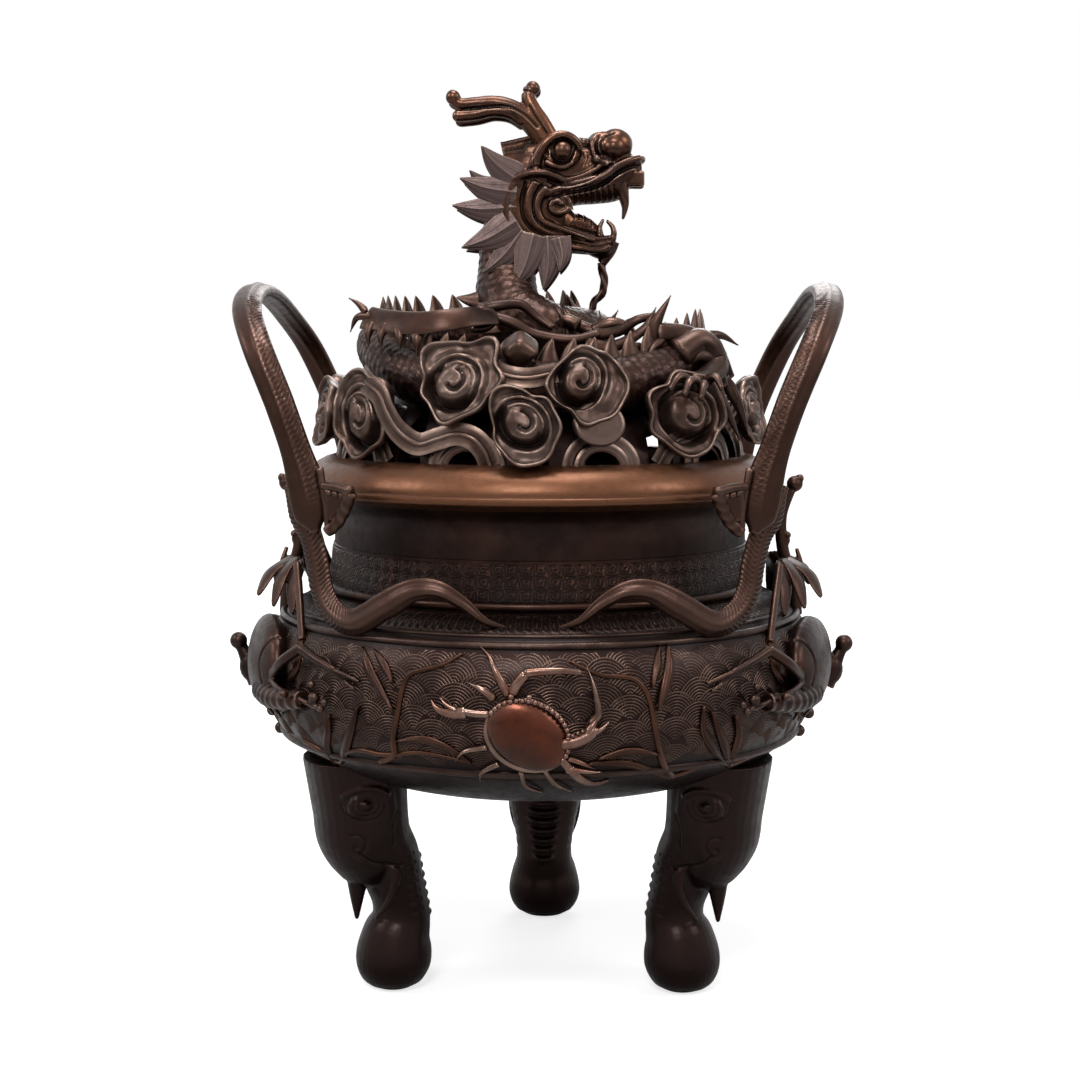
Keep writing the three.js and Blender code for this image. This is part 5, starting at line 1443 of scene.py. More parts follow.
# The scrolls of one half of the lid. First their place: azimuth, distance out from the ring, share
# of the dome's height, size, lean upwards and swing aside. Then the corners of the plate as (angle,
# reach, width), the angle of the middle of the hollow, and the whorl as (x, y, half width, half
# height, turn).
SCROLLS = [
    ((-80, 8.6, 0.49, 0.85, 0.2, 10), ((120, 0.2, 30), (250, 0.15, 26), (20, -0.1, 30)), 240,
     (-0.05, 0, 0.5, 0.42, 60)),
    ((-48, 7.6, 0.52, 1.02, 0.15, 13), ((125, 0.22, 26), (80, -0.08, 20), (262, 0.22, 24),
        (0, -0.16, 40), (215, 0.08, 14)), 262, (-0.12, -0.16, 0.56, 0.4, 104)),
    ((-20, 0.6, 0.82, 1.03, 0.35, 0), ((137, 0.34, 22), (50, 0.36, 20), (4, 0.2, 16),
        (170, -0.08, 14), (215, -0.08, 12), (256, 0.12, 18), (305, -0.06, 20)), 232,
     (-0.1, -0.05, 0.5, 0.46, 20)),
    ((-2, 12.6, 0.42, 0.88, 0.1, 0), ((128, 0.34, 22), (285, 0.2, 34), (190, -0.12, 28),
        (345, 0.06, 20), (70, -0.1, 16)), 240, (-0.04, 0.04, 0.54, 0.46, -35)),
    ((14, 3.6, 0.76, 0.98, 0.3, 0), ((176, 0.16, 16), (225, -0.16, 24), (90, 0.1, 26),
        (300, -0.08, 26), (20, 0.06, 20)), 228, (-0.2, 0.2, 0.5, 0.42, 64)),
    ((41, 7.6, 0.52, 1.08, 0.15, -12), ((160, 0.12, 16), (128, -0.1, 14), (200, 0.06, 12),
        (278, 0.1, 20), (320, -0.05, 16), (345, 0.08, 12)), 232, (0.02, -0.04, 0.52, 0.46, -30)),
    ((75, 8.6, 0.51, 0.85, 0.2, -10), ((60, 0.2, 26), (290, 0.16, 26), (180, -0.1, 30)), 300,
     (0.05, 0, 0.5, 0.42, 120)),
]


def cloud_reach(angle, corners):
    reach = 1 + 0.03 * cos(7 * angle)
    for middle, rise, width in corners:
        away = remainder(angle - radians(middle), 2 * pi)
        reach += rise * bell(away, radians(width))
    return reach


SHELL_SCROLL = 4


def cloud_form(radius, corners, hollow, whorl):
    """A cloud scroll in the plane x, y: a wavy plate with a domed whorl, a crescent hollow on one
    side of it and folds on the other."""
    centre_x, centre_y, wide, tall, lean = whorl
    lean = radians(lean)
    bm = bmesh.new()

    def level(share, angle, x, y):
        dx, dy = x - centre_x, y - centre_y
        aside = (dx * cos(lean) + dy * sin(lean)) / wide
        up = (dy * cos(lean) - dx * sin(lean)) / tall
        away = hypot(aside, up)
        toward = cos(atan2(dy, dx) - radians(hollow))
        open_side = ease((toward + 0.45) / 0.8)
        rim = 2.5 * bell(share - 0.95, 0.055) + 0.9 * sin(3 * angle + hollow) * ease(share * 3 - 2)
        dome = 4.2 * max(0.0, 1 - away ** 2) ** 0.5
        rough = noise.noise(Vector((x * 3.4 + hollow, y * 3.4, radius))) * 1.1
        groove = -7.4 * bell(away - 1.24, 0.2) * open_side
        folds = ((1.2 * cos(2 * pi * (away - 1.1) / 0.44) + 1.3) * (1 - open_side)
                 * ease((away - 0.8) * 6))
        skirt = 0.9 * ease(away - 1.2) * open_side
        return rim + dome + groove + rough + folds * bell(away - 1.2, 0.6) - skirt

    rings = [(0.30, -9.8), (0.66, -9.4), (0.88, -5.4), (0.975, -1.4)]
    rings += [(1 - 0.97 * step / 34, None) for step in range(35)]
    made = bmesh.ops.create_circle(bm, segments=116, radius=1)
    edges = edges_of(made["verts"])
    rims = list(edges)
    ring_verts = [made["verts"]]
    for _ in rings[1:]:
        verts, edges = new_edges(bmesh.ops.extrude_edge_only(bm, edges=edges))
        ring_verts.append(verts)
    rims += edges
    for verts, (share, height) in zip(ring_verts, rings):
        for vert in verts:
            angle = atan2(vert.co.y, vert.co.x)
            reach = share * (1 + (cloud_reach(angle, corners) - 1) * ease(share * 1.5 - 0.3))
            x, y = reach * cos(angle), reach * sin(angle)
            rise = level(share, angle, x, y) if height is None else height
            vert.co = (radius * x, radius * y, rise * radius / 20)
    bmesh.ops.holes_fill(bm, edges=rims, sides=0)
    bmesh.ops.recalc_face_normals(bm, faces=bm.faces)
    hook = []
    for step in range(11):
        turn = radians(hollow) + pi + 0.4 - step * 0.36
        away = 0.78 - 0.5 * step / 10
        aside, up = away * wide * cos(turn - lean), away * tall * sin(turn - lean)
        hook.append(Vector((radius * (centre_x + aside * cos(lean) - up * sin(lean)),
                            radius * (centre_y + aside * sin(lean) + up * cos(lean)), 30)))
    carve(bm, [drape(bm, hook, (0, 0, -1), 0.4)], 2.1, 2.2)
    return bm


def cloud_shell(wide, tall, thick):
    """The rimmed shell that shows under one scroll."""
    bm = bmesh.new()
    bmesh.ops.create_uvsphere(bm, u_segments=40, v_segments=14, radius=1,
                              matrix=Matrix.Diagonal((wide, tall, thick, 1)))
    for vert in bm.verts:
        share = hypot(vert.co.x / wide, vert.co.y / tall)
        vert.co.z += 0.9 * bell(share - 0.9, 0.09) * ease(vert.co.z)
    return bm


def cloud_scroll(dome, number):
    """A cloud scroll on its stalk."""
    half, index = divmod(number, len(SCROLLS))
    (azimuth, out, rise, size, lean, swing), *form = SCROLLS[index]
    azimuth += 180 * half
    outward = polar(azimuth + swing, 1, lean).normalized()
    place = polar(azimuth, dome.ring + out, dome.base + rise * dome.height)
    bm = bmesh.new()
    merge_into(bm, cloud_form(mm("cloud") * size, *form), axes_on(outward, place))
    end = polar(azimuth, 66, place.z - 10)
    limb(bm, [place - outward * 6, place - outward * 16, end], 7, 7.2, 14)
    if index == SHELL_SCROLL:
        low = polar(azimuth + 2.6, dome.ring + out + 0.5, place.z - 17.5)
        merge_into(bm, cloud_shell(13.5, 11.5, 3.4), axes_on(outward, low))
    bmesh.ops.recalc_face_normals(bm, faces=bm.faces)
    label = f"{number + 1:02d}"
    piece(f"cloud_scroll_{label}", bm, "lid", [f"cloud_{label}"], finish("clouds"))


class BURNER_OT_clouds(bpy.types.Operator):
    """Sets the cloud scrolls round the lid"""
    bl_idname = "burner.clouds"
    bl_label = "Clouds"

    def execute(self, context):
        dome = Dome()
        for number in range(2 * len(SCROLLS)):
            cloud_scroll(dome, number)
        return {"FINISHED"}


SPIKES = 48


def dragon_points():
    coil = mm("coil")
    low, high = 325, 343
    cheek = mm("head_height")
    rows = [(165, coil - 22, low + 4), (140, coil - 16, low + 5), (105, coil - 6, low + 8),
            (76, coil - 4, high - 5), (48, coil - 1, low + 5), (20, coil, low - 3),
            (-10, coil, low - 3), (-42, coil - 1, low + 2), (-76, coil - 6, high),
            (-115, coil - 16, high + 3), (-155, coil - 36, high + 5), (160, coil - 60, high + 6),
            (90, coil - 66, high + 5)]
    neck = [(6, -20, high + 6), (-15, -12, high + 18), (-18, -2, high + 40), (-16, 0, cheek - 8),
            (-6, 0, cheek + 8)]
    return [polar(*row) for row in rows] + [Vector(p) for p in neck]


def dragon_ridge(t):
    rise = ease((t - 0.77) / 0.1)
    return Vector((-rise, -0.35 * rise, 1 - rise)).normalized()


def dragon_radius(t):
    neck = (mm("neck") - mm("body")) * ease((t - 0.78) / 0.12)
    return 3.5 + (mm("body") - 3.5) * ease(t / 0.22) + neck - 2.6 * ease((t - 0.9) / 0.06)


def flame(bm, points, width, facing, thick=1.6, blunt=0.7):
    """A flat tongue of mane or flame that tapers to a point, with a vein down each face."""
    path = smooth_path(points, 24)
    tube(bm, path,
         lambda t: (thick * (1 - 0.55 * t),
                    max(0.35, width / 2 * (1 - t) ** blunt * (0.7 + 0.3 * ease(t * 6)))),
         20, lambda t, p: facing,
         lambda t, turn: (0.5 * cos(2 * turn) + 0.45 * bell(abs(turn) - 1.2, 0.25)) * (1 - t))


# Points, the half thickness, the half width and the share of it that is left at the end
STREAMERS = [
    ([(-88, -56, 357), (-76, -66, 355), (-60, -74, 354), (-45, -76, 355.4), (-32, -70, 357.4),
      (-22, -58, 358)], 1.5, 7, 0.8),
    ([(-34, -64, 357), (-27, -60, 361), (-22, -56, 356.6), (-26, -58, 352), (-33, -62, 351)], 2.4,
     2.8, 0.8),
    ([(-30, -44, 361.5), (-20, -44, 363.6), (-9, -42, 364), (0, -42, 357.4), (8, -44, 352)], 2.6,
     3.4, 0.6),
    ([(-26, -52, 358), (-14, -54, 355), (-4, -54, 349.6), (6, -54, 347), (20, -54, 346),
      (32, -52, 349)], 2.6, 3.4, 0.7),
    ([(26, -56, 343), (38, -62, 342), (48, -66, 346), (56, -66, 352), (60, -64, 358)], 2.6, 4, 0.5),
    ([(30, -50, 348), (42, -54, 350), (52, -56, 356), (62, -54, 358)], 2.4, 3.4, 0.6),
    ([(62, -66, 350), (78, -62, 348.6), (92, -54, 341), (100, -46, 326)], 2.8, 5, 0.6),
    ([(74, -66, 333), (84, -66, 338), (92, -62, 332), (96, -60, 322)], 2.6, 3.8, 0.7),
]


# Points and the width of the flames
TONGUES = [
    ([(-86, -58, 358), (-93, -54, 357), (-97, -50, 350)], 6),
    ([(-84, -62, 354), (-86, -64, 349), (-86, -65, 342)], 7),
    ([(-77, -66, 353), (-79, -69, 348), (-79, -70, 341)], 7.5),
    ([(-69, -70, 352), (-69, -73, 347), (-69, -74, 340)], 8),
    ([(-60, -73, 350), (-60, -76, 346), (-60, -77, 337)], 8),
    ([(-88, -57, 360), (-92, -56, 364), (-97, -54, 367)], 5),
    ([(60, -64, 338), (60.4, -66, 352), (68.4, -64, 368)], 11),
    ([(61, -65, 340), (57, -66, 352), (61, -64, 362)], 8),
    ([(58, -66, 337), (51, -72, 342), (44, -84, 332)], 7),
    ([(64, -66, 345), (59, -74, 341), (55, -80, 333)], 6),
    ([(82, -62, 346), (94, -54, 348), (104, -46, 343)], 8),
    ([(96, -56, 326), (103, -56, 314), (110, -46, 296)], 9),
    ([(90, -64, 324), (97, -66, 310), (105, -56, 294)], 8),
    ([(84, -70, 322), (92, -72, 308), (99, -66, 297)], 7),
    ([(30, -40, 352), (33, -42, 356), (32, -42, 361)], 4),
    ([(36, -40, 353), (40, -42, 358), (42, -42, 361)], 4),
    ([(44, -38, 352), (48, -40, 356), (52, -40, 357)], 4),
    ([(12, -38, 353), (12, -40, 358), (10, -40, 361)], 4),
    ([(20, -38, 352), (22, -40, 356), (23, -40, 359)], 4),
]


# Points, and the radius at the root and at the tip
PAW = [
    ([(72, -66, 338), (84, -60, 344), (92, -58, 334), (86, -72, 326), (78, -84, 324)], 8.5, 5),
    ([(78, -84, 324), (72, -92, 327), (67, -98, 321)], 3.6, 1.2),
    ([(80, -86, 323), (77, -96, 325), (74, -101, 318)], 3.4, 1.2),
    ([(83, -84, 322), (84, -94, 323), (82, -100, 316)], 3.4, 1.2),
    ([(85, -80, 324), (90, -87, 327), (93, -92, 321)], 3.2, 1.1),
]


SHOULDERS = [
    ([(30, -40, 350), (38, -42, 354), (46, -40, 352), (50, -34, 346)], 4.2, 3),
    ([(8, -30, 352), (14, -34, 356), (24, -36, 352), (30, -40, 350)], 3.8, 3.2),
]


def dragon_streamers(bm):
    front = Vector((0, -1, 0.45)).normalized()
    for points, out, across, end in STREAMERS:
        fold(bm, points, out, across, end, lambda t, p: front, 22)
    for points, width in TONGUES:
        flame(bm, points, width, Vector((0.1, -1, 0.2)).normalized(), 2, 0.8)
    lump = bmesh.new()
    bmesh.ops.create_cube(lump, size=1, matrix=Matrix.Diagonal((15.4, 15.4, 15, 1)))
    round_edges(lump, lump.edges[:], 4.2, 4)
    turned = (Matrix.Rotation(0.5, 4, "X") @ Matrix.Diagonal((1, 1, 0.84, 1))
              @ Matrix.Rotation(pi / 4, 4, "Y"))
    merge_into(bm, lump, Matrix.Translation(polar(-4, 98, 341)) @ turned)


def dragon_feet(bm):
    limb(bm, [(-44, 42, 344), (-58, 54, 342), (-74, 68, 338)], 8.5, 8.5, 18)
    for turned in (1, -1):
        for points, start, end in PAW:
            limb(bm, [(x * turned, y * turned, z) for x, y, z in points], start, end, 18)
    for points, start, end in SHOULDERS:
        limb(bm, points, start, end, 18)


class BURNER_OT_dragon_body(bpy.types.Operator):
    """Winds the scaled dragon round the lid with its fins, flames and feet"""
    bl_idname = "burner.dragon_body"
    bl_label = "Dragon body"

    def execute(self, context):
        path = smooth_path(dragon_points(), 620)
        bm = bmesh.new()
        rows = round(run_of(path) / 4.6)

        def scales(t, turn):
            row = t * rows
            around = (turn / (2 * pi)) * 12 + 0.5 * (int(row) % 2)
            across = abs((around % 1) - 0.5) * 2
            up = (row % 1) + 0.32 * across ** 2
            lift = 0.62 * (1 - up % 1) * ease((1 - across) * 4 + 0.25)
            return lift * min(1.0, dragon_radius(t) / 9)

        tube(bm, path, lambda t: (dragon_radius(t),) * 2, 96, lambda t, p: dragon_ridge(t), scales)
        for count in range(SPIKES):
            t = 0.1 + 0.83 * count / SPIKES
            index = round(t * (len(path) - 1))
            place = path[index]
            ahead = along_path(path, index)
            toward = dragon_ridge(t)
            up = (toward - ahead * toward.dot(ahead)).normalized()
            root = place + up * (dragon_radius(t) - 2)
            lean = 0.3 if t < 0.8 else -0.3
            tips = [root, root + up * 6.5 - ahead * lean * 2, root + up * 13.4 - ahead * lean * 8]
            keen = smooth_path(tips, 14)
            tube(bm, keen, lambda t: (2.8 * (1 - t) ** 0.8 + 0.2, 6.4 * (1 - t) ** 0.8 + 0.2), 10,
                 lambda t, p: ahead.cross(up))
        dragon_streamers(bm)
        dragon_feet(bm)
        bmesh.ops.recalc_face_normals(bm, faces=bm.faces)
        piece("dragon_coil", bm, "lid", ["dragon_body"], finish("scales"))
        return {"FINISHED"}


# The dragon's head

def head_stations(bm, stations, power=0.8, sides=40, count=40):
    """A head form through stations of (x, top, bottom, half width)."""
    tops = smooth_path([head_point(x, top) for x, top, _, _ in stations], count)
    lows = smooth_path([head_point(x, low) for x, _, low, _ in stations], count)
    wides = smooth_path([Vector((x, wide, 0)) for x, _, _, wide in stations], count)
    centres = [(a + b) / 2 for a, b in zip(tops, lows)]
    sizes = [((a - b).length / 2, c.y) for a, b, c in zip(tops, lows, wides)]
    last = len(centres) - 1

    def squarer(t, turn):
        tall, wide = sizes[round(t * last)]
        c, s = abs(cos(turn)), abs(sin(turn))
        return hypot(tall * c ** power, wide * s ** power) - hypot(tall * c, wide * s)

    tube(bm, centres, lambda t: sizes[round(t * last)], sides, lambda t, p: UP, squarer)


def head_point(x, rise, y=0.0):
    return Vector((x, y, mm("head_height") + rise))


def head_line(*points):
    return [head_point(*point) for point in points]


def mane_leaf(bm, side, root, tip, width, y_root, y_tip):
    """A pointed leaf of the mane with a midrib, cuts beside it and a raised rim."""
    start = head_point(*root, side * y_root)
    end = head_point(*tip, side * y_tip)
    sideways = (end - start).cross(Vector((0, 1, 0))).normalized()
    path = smooth_path([start, start.lerp(end, 0.55) + sideways * 1.6, end], 34)

    def half(t):
        return 1.6 - 0.7 * t, max(0.25, 0.6 * width * (1 - t ** 1.7) ** 0.95)

    def relief(t, turn):
        veins = 0.5 * bell(turn, 0.12) + 0.55 * bell(abs(turn) - 1.22, 0.2)
        cuts = 0.3 * bell(abs(turn) - 0.9, 0.16) - 0.14 * cos(turn * 30)
        return (veins - cuts) * (1 - 0.4 * t)

    tube(bm, path, half, 84, lambda t, p: Vector((0, side, 0)), relief)


# Points of (x, rise), the half sizes and the distance aside
CHEEK_FOLDS = [
    ([(-9.6, 18.4), (-14.8, 13), (-17, 6.4), (-17, -0.8), (-14.4, -8), (-8.2, -13.2), (2, -15.8),
      (15, -17.4), (28, -18.8)], 4.6, 4.2, 13.8),
    ([(-6.4, 17.2), (-11, 11.6), (-12.8, 4.6), (-11.8, -2.8), (-8, -8.8), (0.4, -12.4), (12, -14.8),
      (25, -17)], 3.6, 4.4, 14),
    ([(-1.4, 16.4), (-4.6, 10.2), (-5.4, 3.2), (-4, -3), (0.6, -7.8), (9, -10.8), (19.6, -13.4),
      (28.6, -15.8)], 3.2, 2.9, 16.2),
    ([(4.2, 13.4), (0.4, 8.4), (-0.8, 1.6), (1.8, -4), (8, -7), (16, -9.8), (24, -12.6),
      (29.4, -14)], 3, 2.5, 17),
]


# Root and tip as (x, rise), and the width
MANE_LEAVES = [((-11, 17), (-30.6, 35), 14.5), ((-22, 13), (-37, 22.4), 8),
               ((-12, 11), (-42, 18.2), 14.5), ((-12, 3.4), (-46.2, 4), 15),
               ((-12, -4), (-41.2, -18.4), 15.5), ((-9, -9), (-29.8, -31.6), 15.5),
               ((-3, -11), (-13.8, -40), 15.5), ((4.4, -12), (2.4, -40.6), 15),
               ((10.6, -13), (11, -31), 10)]


# Grooves of the face as points of (x, rise)
DEEP_LINES = [
    [(-7.2, 15.6), (-9, 9), (-9.4, 2.8), (-8, -3.6), (-3.2, -9), (6.9, -12.4), (19.2, -15),
     (28.2, -17)],
    [(-20.4, 9.5), (-21.4, 2.7), (-20.8, -4.7), (-17.6, -12.4), (-10.7, -17.2), (0.5, -19)],
    [(7.4, 7.6), (13.8, 10), (24.4, 12.2), (34, 15.4), (40.6, 20.2), (48, 24.2), (53.5, 25.4)],
    [(5, 16.6), (14, 14.6), (24, 16.8), (33, 21.6), (40, 26.6)],
]


LIGHT_LINES = [
    [(1.6, 15), (-2, 9), (-3, 2.6), (-1.2, -3.6), (4, -7.8), (13, -10.6), (24, -13.6)],
    [(31.4, 41), (30.4, 36), (31.4, 31.4), (35, 28.6), (41, 28)],
    [(-12, 14), (-14.8, 8), (-15.4, 1.6), (-13.6, -5.6), (-8, -11)],
    [(-10, 21.6), (-2, 24.2), (4, 23.4)],
]


def dragon_skull():
    wide = mm("skull")
    bm = bmesh.new()
    head_stations(bm, [(-21.6, 36, 15, wide - 7), (-12, 38, 4, wide - 3), (3, 39.6, 3, wide - 1.6),
                       (13, 39.4, 4, wide - 3), (21, 37.6, 5.4, wide - 5.4),
                       (30, 37, 6, wide - 6.8), (39, 38.6, 7.4, wide - 6.8), (46, 36, 14, wide - 8),
                       (51, 32, 20, wide - 9.6), (54.6, 29.6, 23.5, wide - 12.4)], 0.82)
    for side in (-1, 1):
        def at(x, rise, y):
            return head_point(x, rise, side * y)

        def outward(t, p):
            return Vector((0, side, 0))

        pebble(bm, at(11, 31.6, wide - 6), (11.5, 10, 5.6), Vector((0.1, side, 0.12)), 0, 28)
        ball(bm, at(12.4, 32.6, wide - 1.2), 5.2, 28)
        fold(bm, [at(-1.8, 22.6, wide - 2), at(-1, 29, wide - 0.4), at(2.6, 35.6, wide),
                  at(8, 39.8, wide - 0.8), at(14, 40.8, wide - 2), at(19, 38.2, wide - 3.4),
                  at(22, 33.8, wide - 4.8)], 3.3, 2.8, 0.85, outward)
        fold(bm, [at(3.6, 27, wide - 1.6), at(7.6, 24.8, wide - 0.8), at(13, 24, wide - 1.6),
                  at(18, 26.6, wide - 3)], 2, 1.7, 0.8, outward)
        pebble(bm, at(40.8, 36.9, 5.8), (9, 8.9, 8.4), Vector((0.12, side, 0.1)), side * 0.12, 36)
        pebble(bm, at(33.6, 36.6, 5.4), (8.6, 7.8, 8.2), Vector((0, side, 0.1)), 0, 32)
        ball(bm, at(39.8, 34.8, 9.6), 6.1, 24)
        fold(bm, [at(32, 42.4, 8.4), at(28.4, 38, 11.6), at(28.6, 32, 12.8), at(32, 27.8, 13),
                  at(38.6, 26.8, 12.4)], 2, 1.6, 0.7, outward)
        for x, rise, y, size in ((23.6, 37.6, 6.4, 3.2), (28, 37.2, 7.4, 2.6),
                                 (30.6, 28.4, 13.2, 2.4), (36.4, 26, 12.4, 2.2)):
            ball(bm, at(x, rise, y), size, 16)
        fold(bm, [at(-14, 17.4, wide - 4), at(-7, 20.4, wide - 1.6), at(1, 21.2, wide - 0.6),
                  at(8, 19.6, wide - 1.4), at(14, 17.2, wide - 2.6), at(20, 18.4, wide - 4.2),
                  at(27.4, 21.6, wide - 5.8), at(34, 26.2, wide - 7)], 2.9, 2.5, 0.55, outward)
        fold(bm, [at(3, 9.6, wide - 3.2), at(9, 12.2, wide - 2.4), at(17, 14, wide - 2.8),
                  at(27, 16.6, wide - 3.8), at(35, 20, wide - 4.8), at(41, 24.6, wide - 6),
                  at(47.6, 27.8, wide - 8.4), at(53.6, 29.6, wide - 12)], 3, 2.5, 0.8, outward)
        pebble(bm, at(-3, 1, 11), (17.4, 19.2, 6.6), Vector((0, side, 0)), 0, 40)
        for line, out, across, y in CHEEK_FOLDS:
            count = len(line) - 1
            fold(bm, [at(x, rise, y - 7.4 * ease((step / count - 0.5) * 2))
                      for step, (x, rise) in enumerate(line)], out, across, 0.55, outward)
        pebble(bm, at(10.2, 4.2, 15.4), (7.8, 6.2, 3.4), Vector((0, side, 0)), 0, 28)
        curl = []
        for step in range(19):
            share, turn = step / 18, 1.9 - 0.46 * step
            curl.append(at(10.2 + (7.4 - 5.8 * share) * cos(turn),
                           4.0 + (5.9 - 4.6 * share) * sin(turn), 17.2 + 1.2 * share))
        limb(bm, curl, 1.5, 1.9, 14)
        limb(bm, [at(43.4, 18, 6.8), at(45, 10.8, 7.6), at(46, 4.8, 7.2), at(44.8, -2, 6.4)], 4.2,
             0.8, 16)
        flap = Matrix.Translation(at(49.4, 18.8, 6.6)) @ Matrix.Rotation(side * 0.22, 4, "Z")
        block = bmesh.ops.create_cube(bm, size=1,
                                      matrix=flap @ Matrix.Diagonal((13.6, 4.4, 8.6, 1)))
        round_edges(bm, edges_of(block["verts"]), 1.2, 2)
    limb(bm, head_line((2, 0), (10, -3), (15, -7)), 11, 8.4, 24)
    limb(bm, head_line((-20, 33), (-8, 36), (6, 38.4), (20, 37.4)), 6.4, 4.8, 20)
    limb(bm, head_line((20, 36.6), (28, 36.4), (38, 37.6), (46, 34.4)), 5, 5.6, 20)
    limb(bm, head_line((51.6, 28.6, -7), (54.6, 29.6, 0), (51.6, 28.6, 7)), 2.4, 2.4, 16)
    bm = fuse(bm, 0.55, 4)
    for side in (-1, 1):
        aim = (0, -side, 0)

        def near(points):
            return drape(bm, [head_point(x, rise, side * 60) for x, rise in points], aim, 0.35)

        def ring(x, rise, radius):
            return [(x + radius * cos(a), rise + radius * sin(a)) for a in arc(0, 361, 24)]

        carve(bm, [near(ring(12.5, 32.7, 5.9))], 1.5, 2)
        carve(bm, [near([(-3.2, 25), (-3, 31), (0.6, 37.4), (6.6, 42), (13.8, 43.2)])], 1.2, 0.9)
        carve(bm, [near([(4.6, 31), (6.6, 36.2), (11.4, 39), (16.6, 38), (19.4, 34.4)])], 1.4, 1.1)
        carve(bm, [near(line) for line in DEEP_LINES], 1.5, 1.6)
        carve(bm, [near(line) for line in LIGHT_LINES], 1.1, 0.9)
        teeth = [[(18 + 3.1 * k, 12.4 + 0.35 * k), (18.2 + 3.1 * k, 9), (18.6 + 3.1 * k, 5.4)]
                 for k in range(8)]
        carve(bm, [near(line) for line in teeth], 0.9, 0.5)
        fine = [[(23 + 1.7 * k, 24.6 + 0.8 * k), (24.4 + 1.7 * k, 28.6 + 0.5 * k),
                 (24 + 1.7 * k, 32.4)] for k in range(3)]
        carve(bm, [near(line) for line in fine], 0.8, 0.4)
        carve(bm, [near([(33.6, 31), (32.6, 35.4), (34.6, 40), (39.4, 42.2)])], 1.2, 1)
    piece("dragon_skull", bm, "lid", ["dragon_head"], finish("head"))


def dragon_jaw():
    bm = bmesh.new()
    head_stations(bm, [(10, -4, -18, 8.4), (19, -5.6, -19.4, 9), (28, -9, -21, 8.6),
                       (34, -12, -23.4, 7.2), (39.4, -12.4, -19, 4.4)], 0.85, 32, 24)
    for side in (-1, 1):
        def at(x, rise, y):
            return head_point(x, rise, side * y)

        def outward(t, p):
            return Vector((0, side, 0))

        for line, out, across in (
                ([(11, -16.6, 9), (22, -18.2, 9.4), (31, -19.4, 8), (37.4, -17, 4.6)], 2.6, 2.3),
                ([(9, -11.6, 10), (20, -14.2, 9.8), (30, -16.4, 8.2), (37, -14.8, 5)], 2.4, 2),
                ([(8, -6, 9.6), (16, -8.2, 9.6), (24, -11, 9), (31, -13.2, 7.2),
                  (37.6, -12.2, 4.4)], 2.4, 2.1)):
            fold(bm, [at(*point) for point in line], out, across, 0.7, outward)
        limb(bm, [at(32.6, -13, 5), at(32.2, -8, 5.2), at(32.8, -5, 5), at(34.4, -2.4, 4.6)], 2.5,
             0.7, 14)
        limb(bm, [at(38.2, -15, 3.6), at(40, -10.4, 3.6), at(39, -6, 3.2), at(36, -3, 2.6)], 2.3,
             0.8, 14)
    limb(bm, head_line((12, -5), (20, -3.6), (26, -6), (31, -10)), 5.4, 3.6, 20)
    limb(bm, head_line((39.6, -14), (38, -19), (33.4, -26)), 3.6, 2.6, 16)
    bm = fuse(bm, 0.5, 2)
    ribs = [drape(bm, head_line((x, 30, side), (x + 0.8, 30, side * 4.6)), -UP, 0.35)
            for side in (-1, 1) for x in (17, 20.4, 23.8, 27.2)]
    carve(bm, ribs, 1, 0.7)
    piece("dragon_lower_jaw", bm, "lid", ["dragon_jaw"], finish("head"))
    bm = bmesh.new()
    strand = head_line((33, -25.4), (34.6, -34), (34.2, -41), (29.6, -46.6), (28.2, -54),
                       (30.6, -61.6))
    limb(bm, strand, 2.2, 1.8, 18, 60, lambda t, p: Vector((1, 0, 0)),
         lambda t, turn: 0.35 * cos(3 * turn + 26 * t))
    limb(bm, head_line((30.6, -60), (36, -58.6), (42, -60), (47, -64)), 1.8, 1, 12)
    piece("dragon_beard_strand", bm, "lid", ["dragon_beard"], finish("scales"))


def dragon_horns():
    for name, side in FLANKS:
        def at(x, spread, rise):
            return head_point(x, rise, side * (7 + spread))

        bm = bmesh.new()
        main = [at(5, 0, 35), at(-2, 0.5, 45.5), at(-8.6, 1, 52.2), at(-15.6, 1.6, 56.6),
                at(-24, 2, 58.6), at(-34, 3, 58.2), at(-42.6, 3, 58.2), at(-45.8, 3, 61)]
        limb(bm, main, 6, 3.1, 20)
        ball(bm, at(-46, 3, 61.6), 4.1, 20)
        limb(bm, [at(-9, 1.6, 49), at(-16, 2.4, 53.2), at(-25, 3, 54.4), at(-34, 4, 52.4),
                  at(-43, 4.6, 51.4)], 3.4, 3.1, 16)
        ball(bm, at(-43.4, 4.6, 51.6), 3.2, 16)
        limb(bm, [at(7, 1, 38), at(1.4, 2, 48.4), at(-3.6, 2, 56), at(-6, 1, 62), at(-5, 0, 66)],
             4.8, 3.8, 20)
        ball(bm, at(-3.6, -0.4, 66.6), 4, 20)
        bm = fuse(bm, 0.55, 2)
        lines = [[at(-1, 9, 46), at(-9, 9, 53.2), at(-18, 9, 56.4), at(-30, 9, 55.8),
                  at(-41, 9, 54.8)], [at(4, 9, 42), at(-1.4, 9, 49.6), at(-5.4, 9, 56.4)]]
        carve(bm, [drape(bm, [p + Vector((0, side * 60, 0)) for p in line], (0, -side, 0))
                   for line in lines], 1.4, 1.3)
        piece(f"dragon_horns_{name}", bm, "lid", [f"dragon_horn_{name}"],
              finish("head"))


def dragon_manes():
    for name, side in FLANKS:
        bm = bmesh.new()
        for number, (root, tip, width) in enumerate(MANE_LEAVES):
            mane_leaf(bm, side, root, tip, width, 15.8 - 0.7 * (number % 2),
                      18.6 - 1.2 * (number % 2))
        bmesh.ops.recalc_face_normals(bm, faces=bm.faces)
        piece(f"dragon_mane_leaves_{name}", bm, "lid", [f"dragon_mane_{name}"],
              finish("mane"))


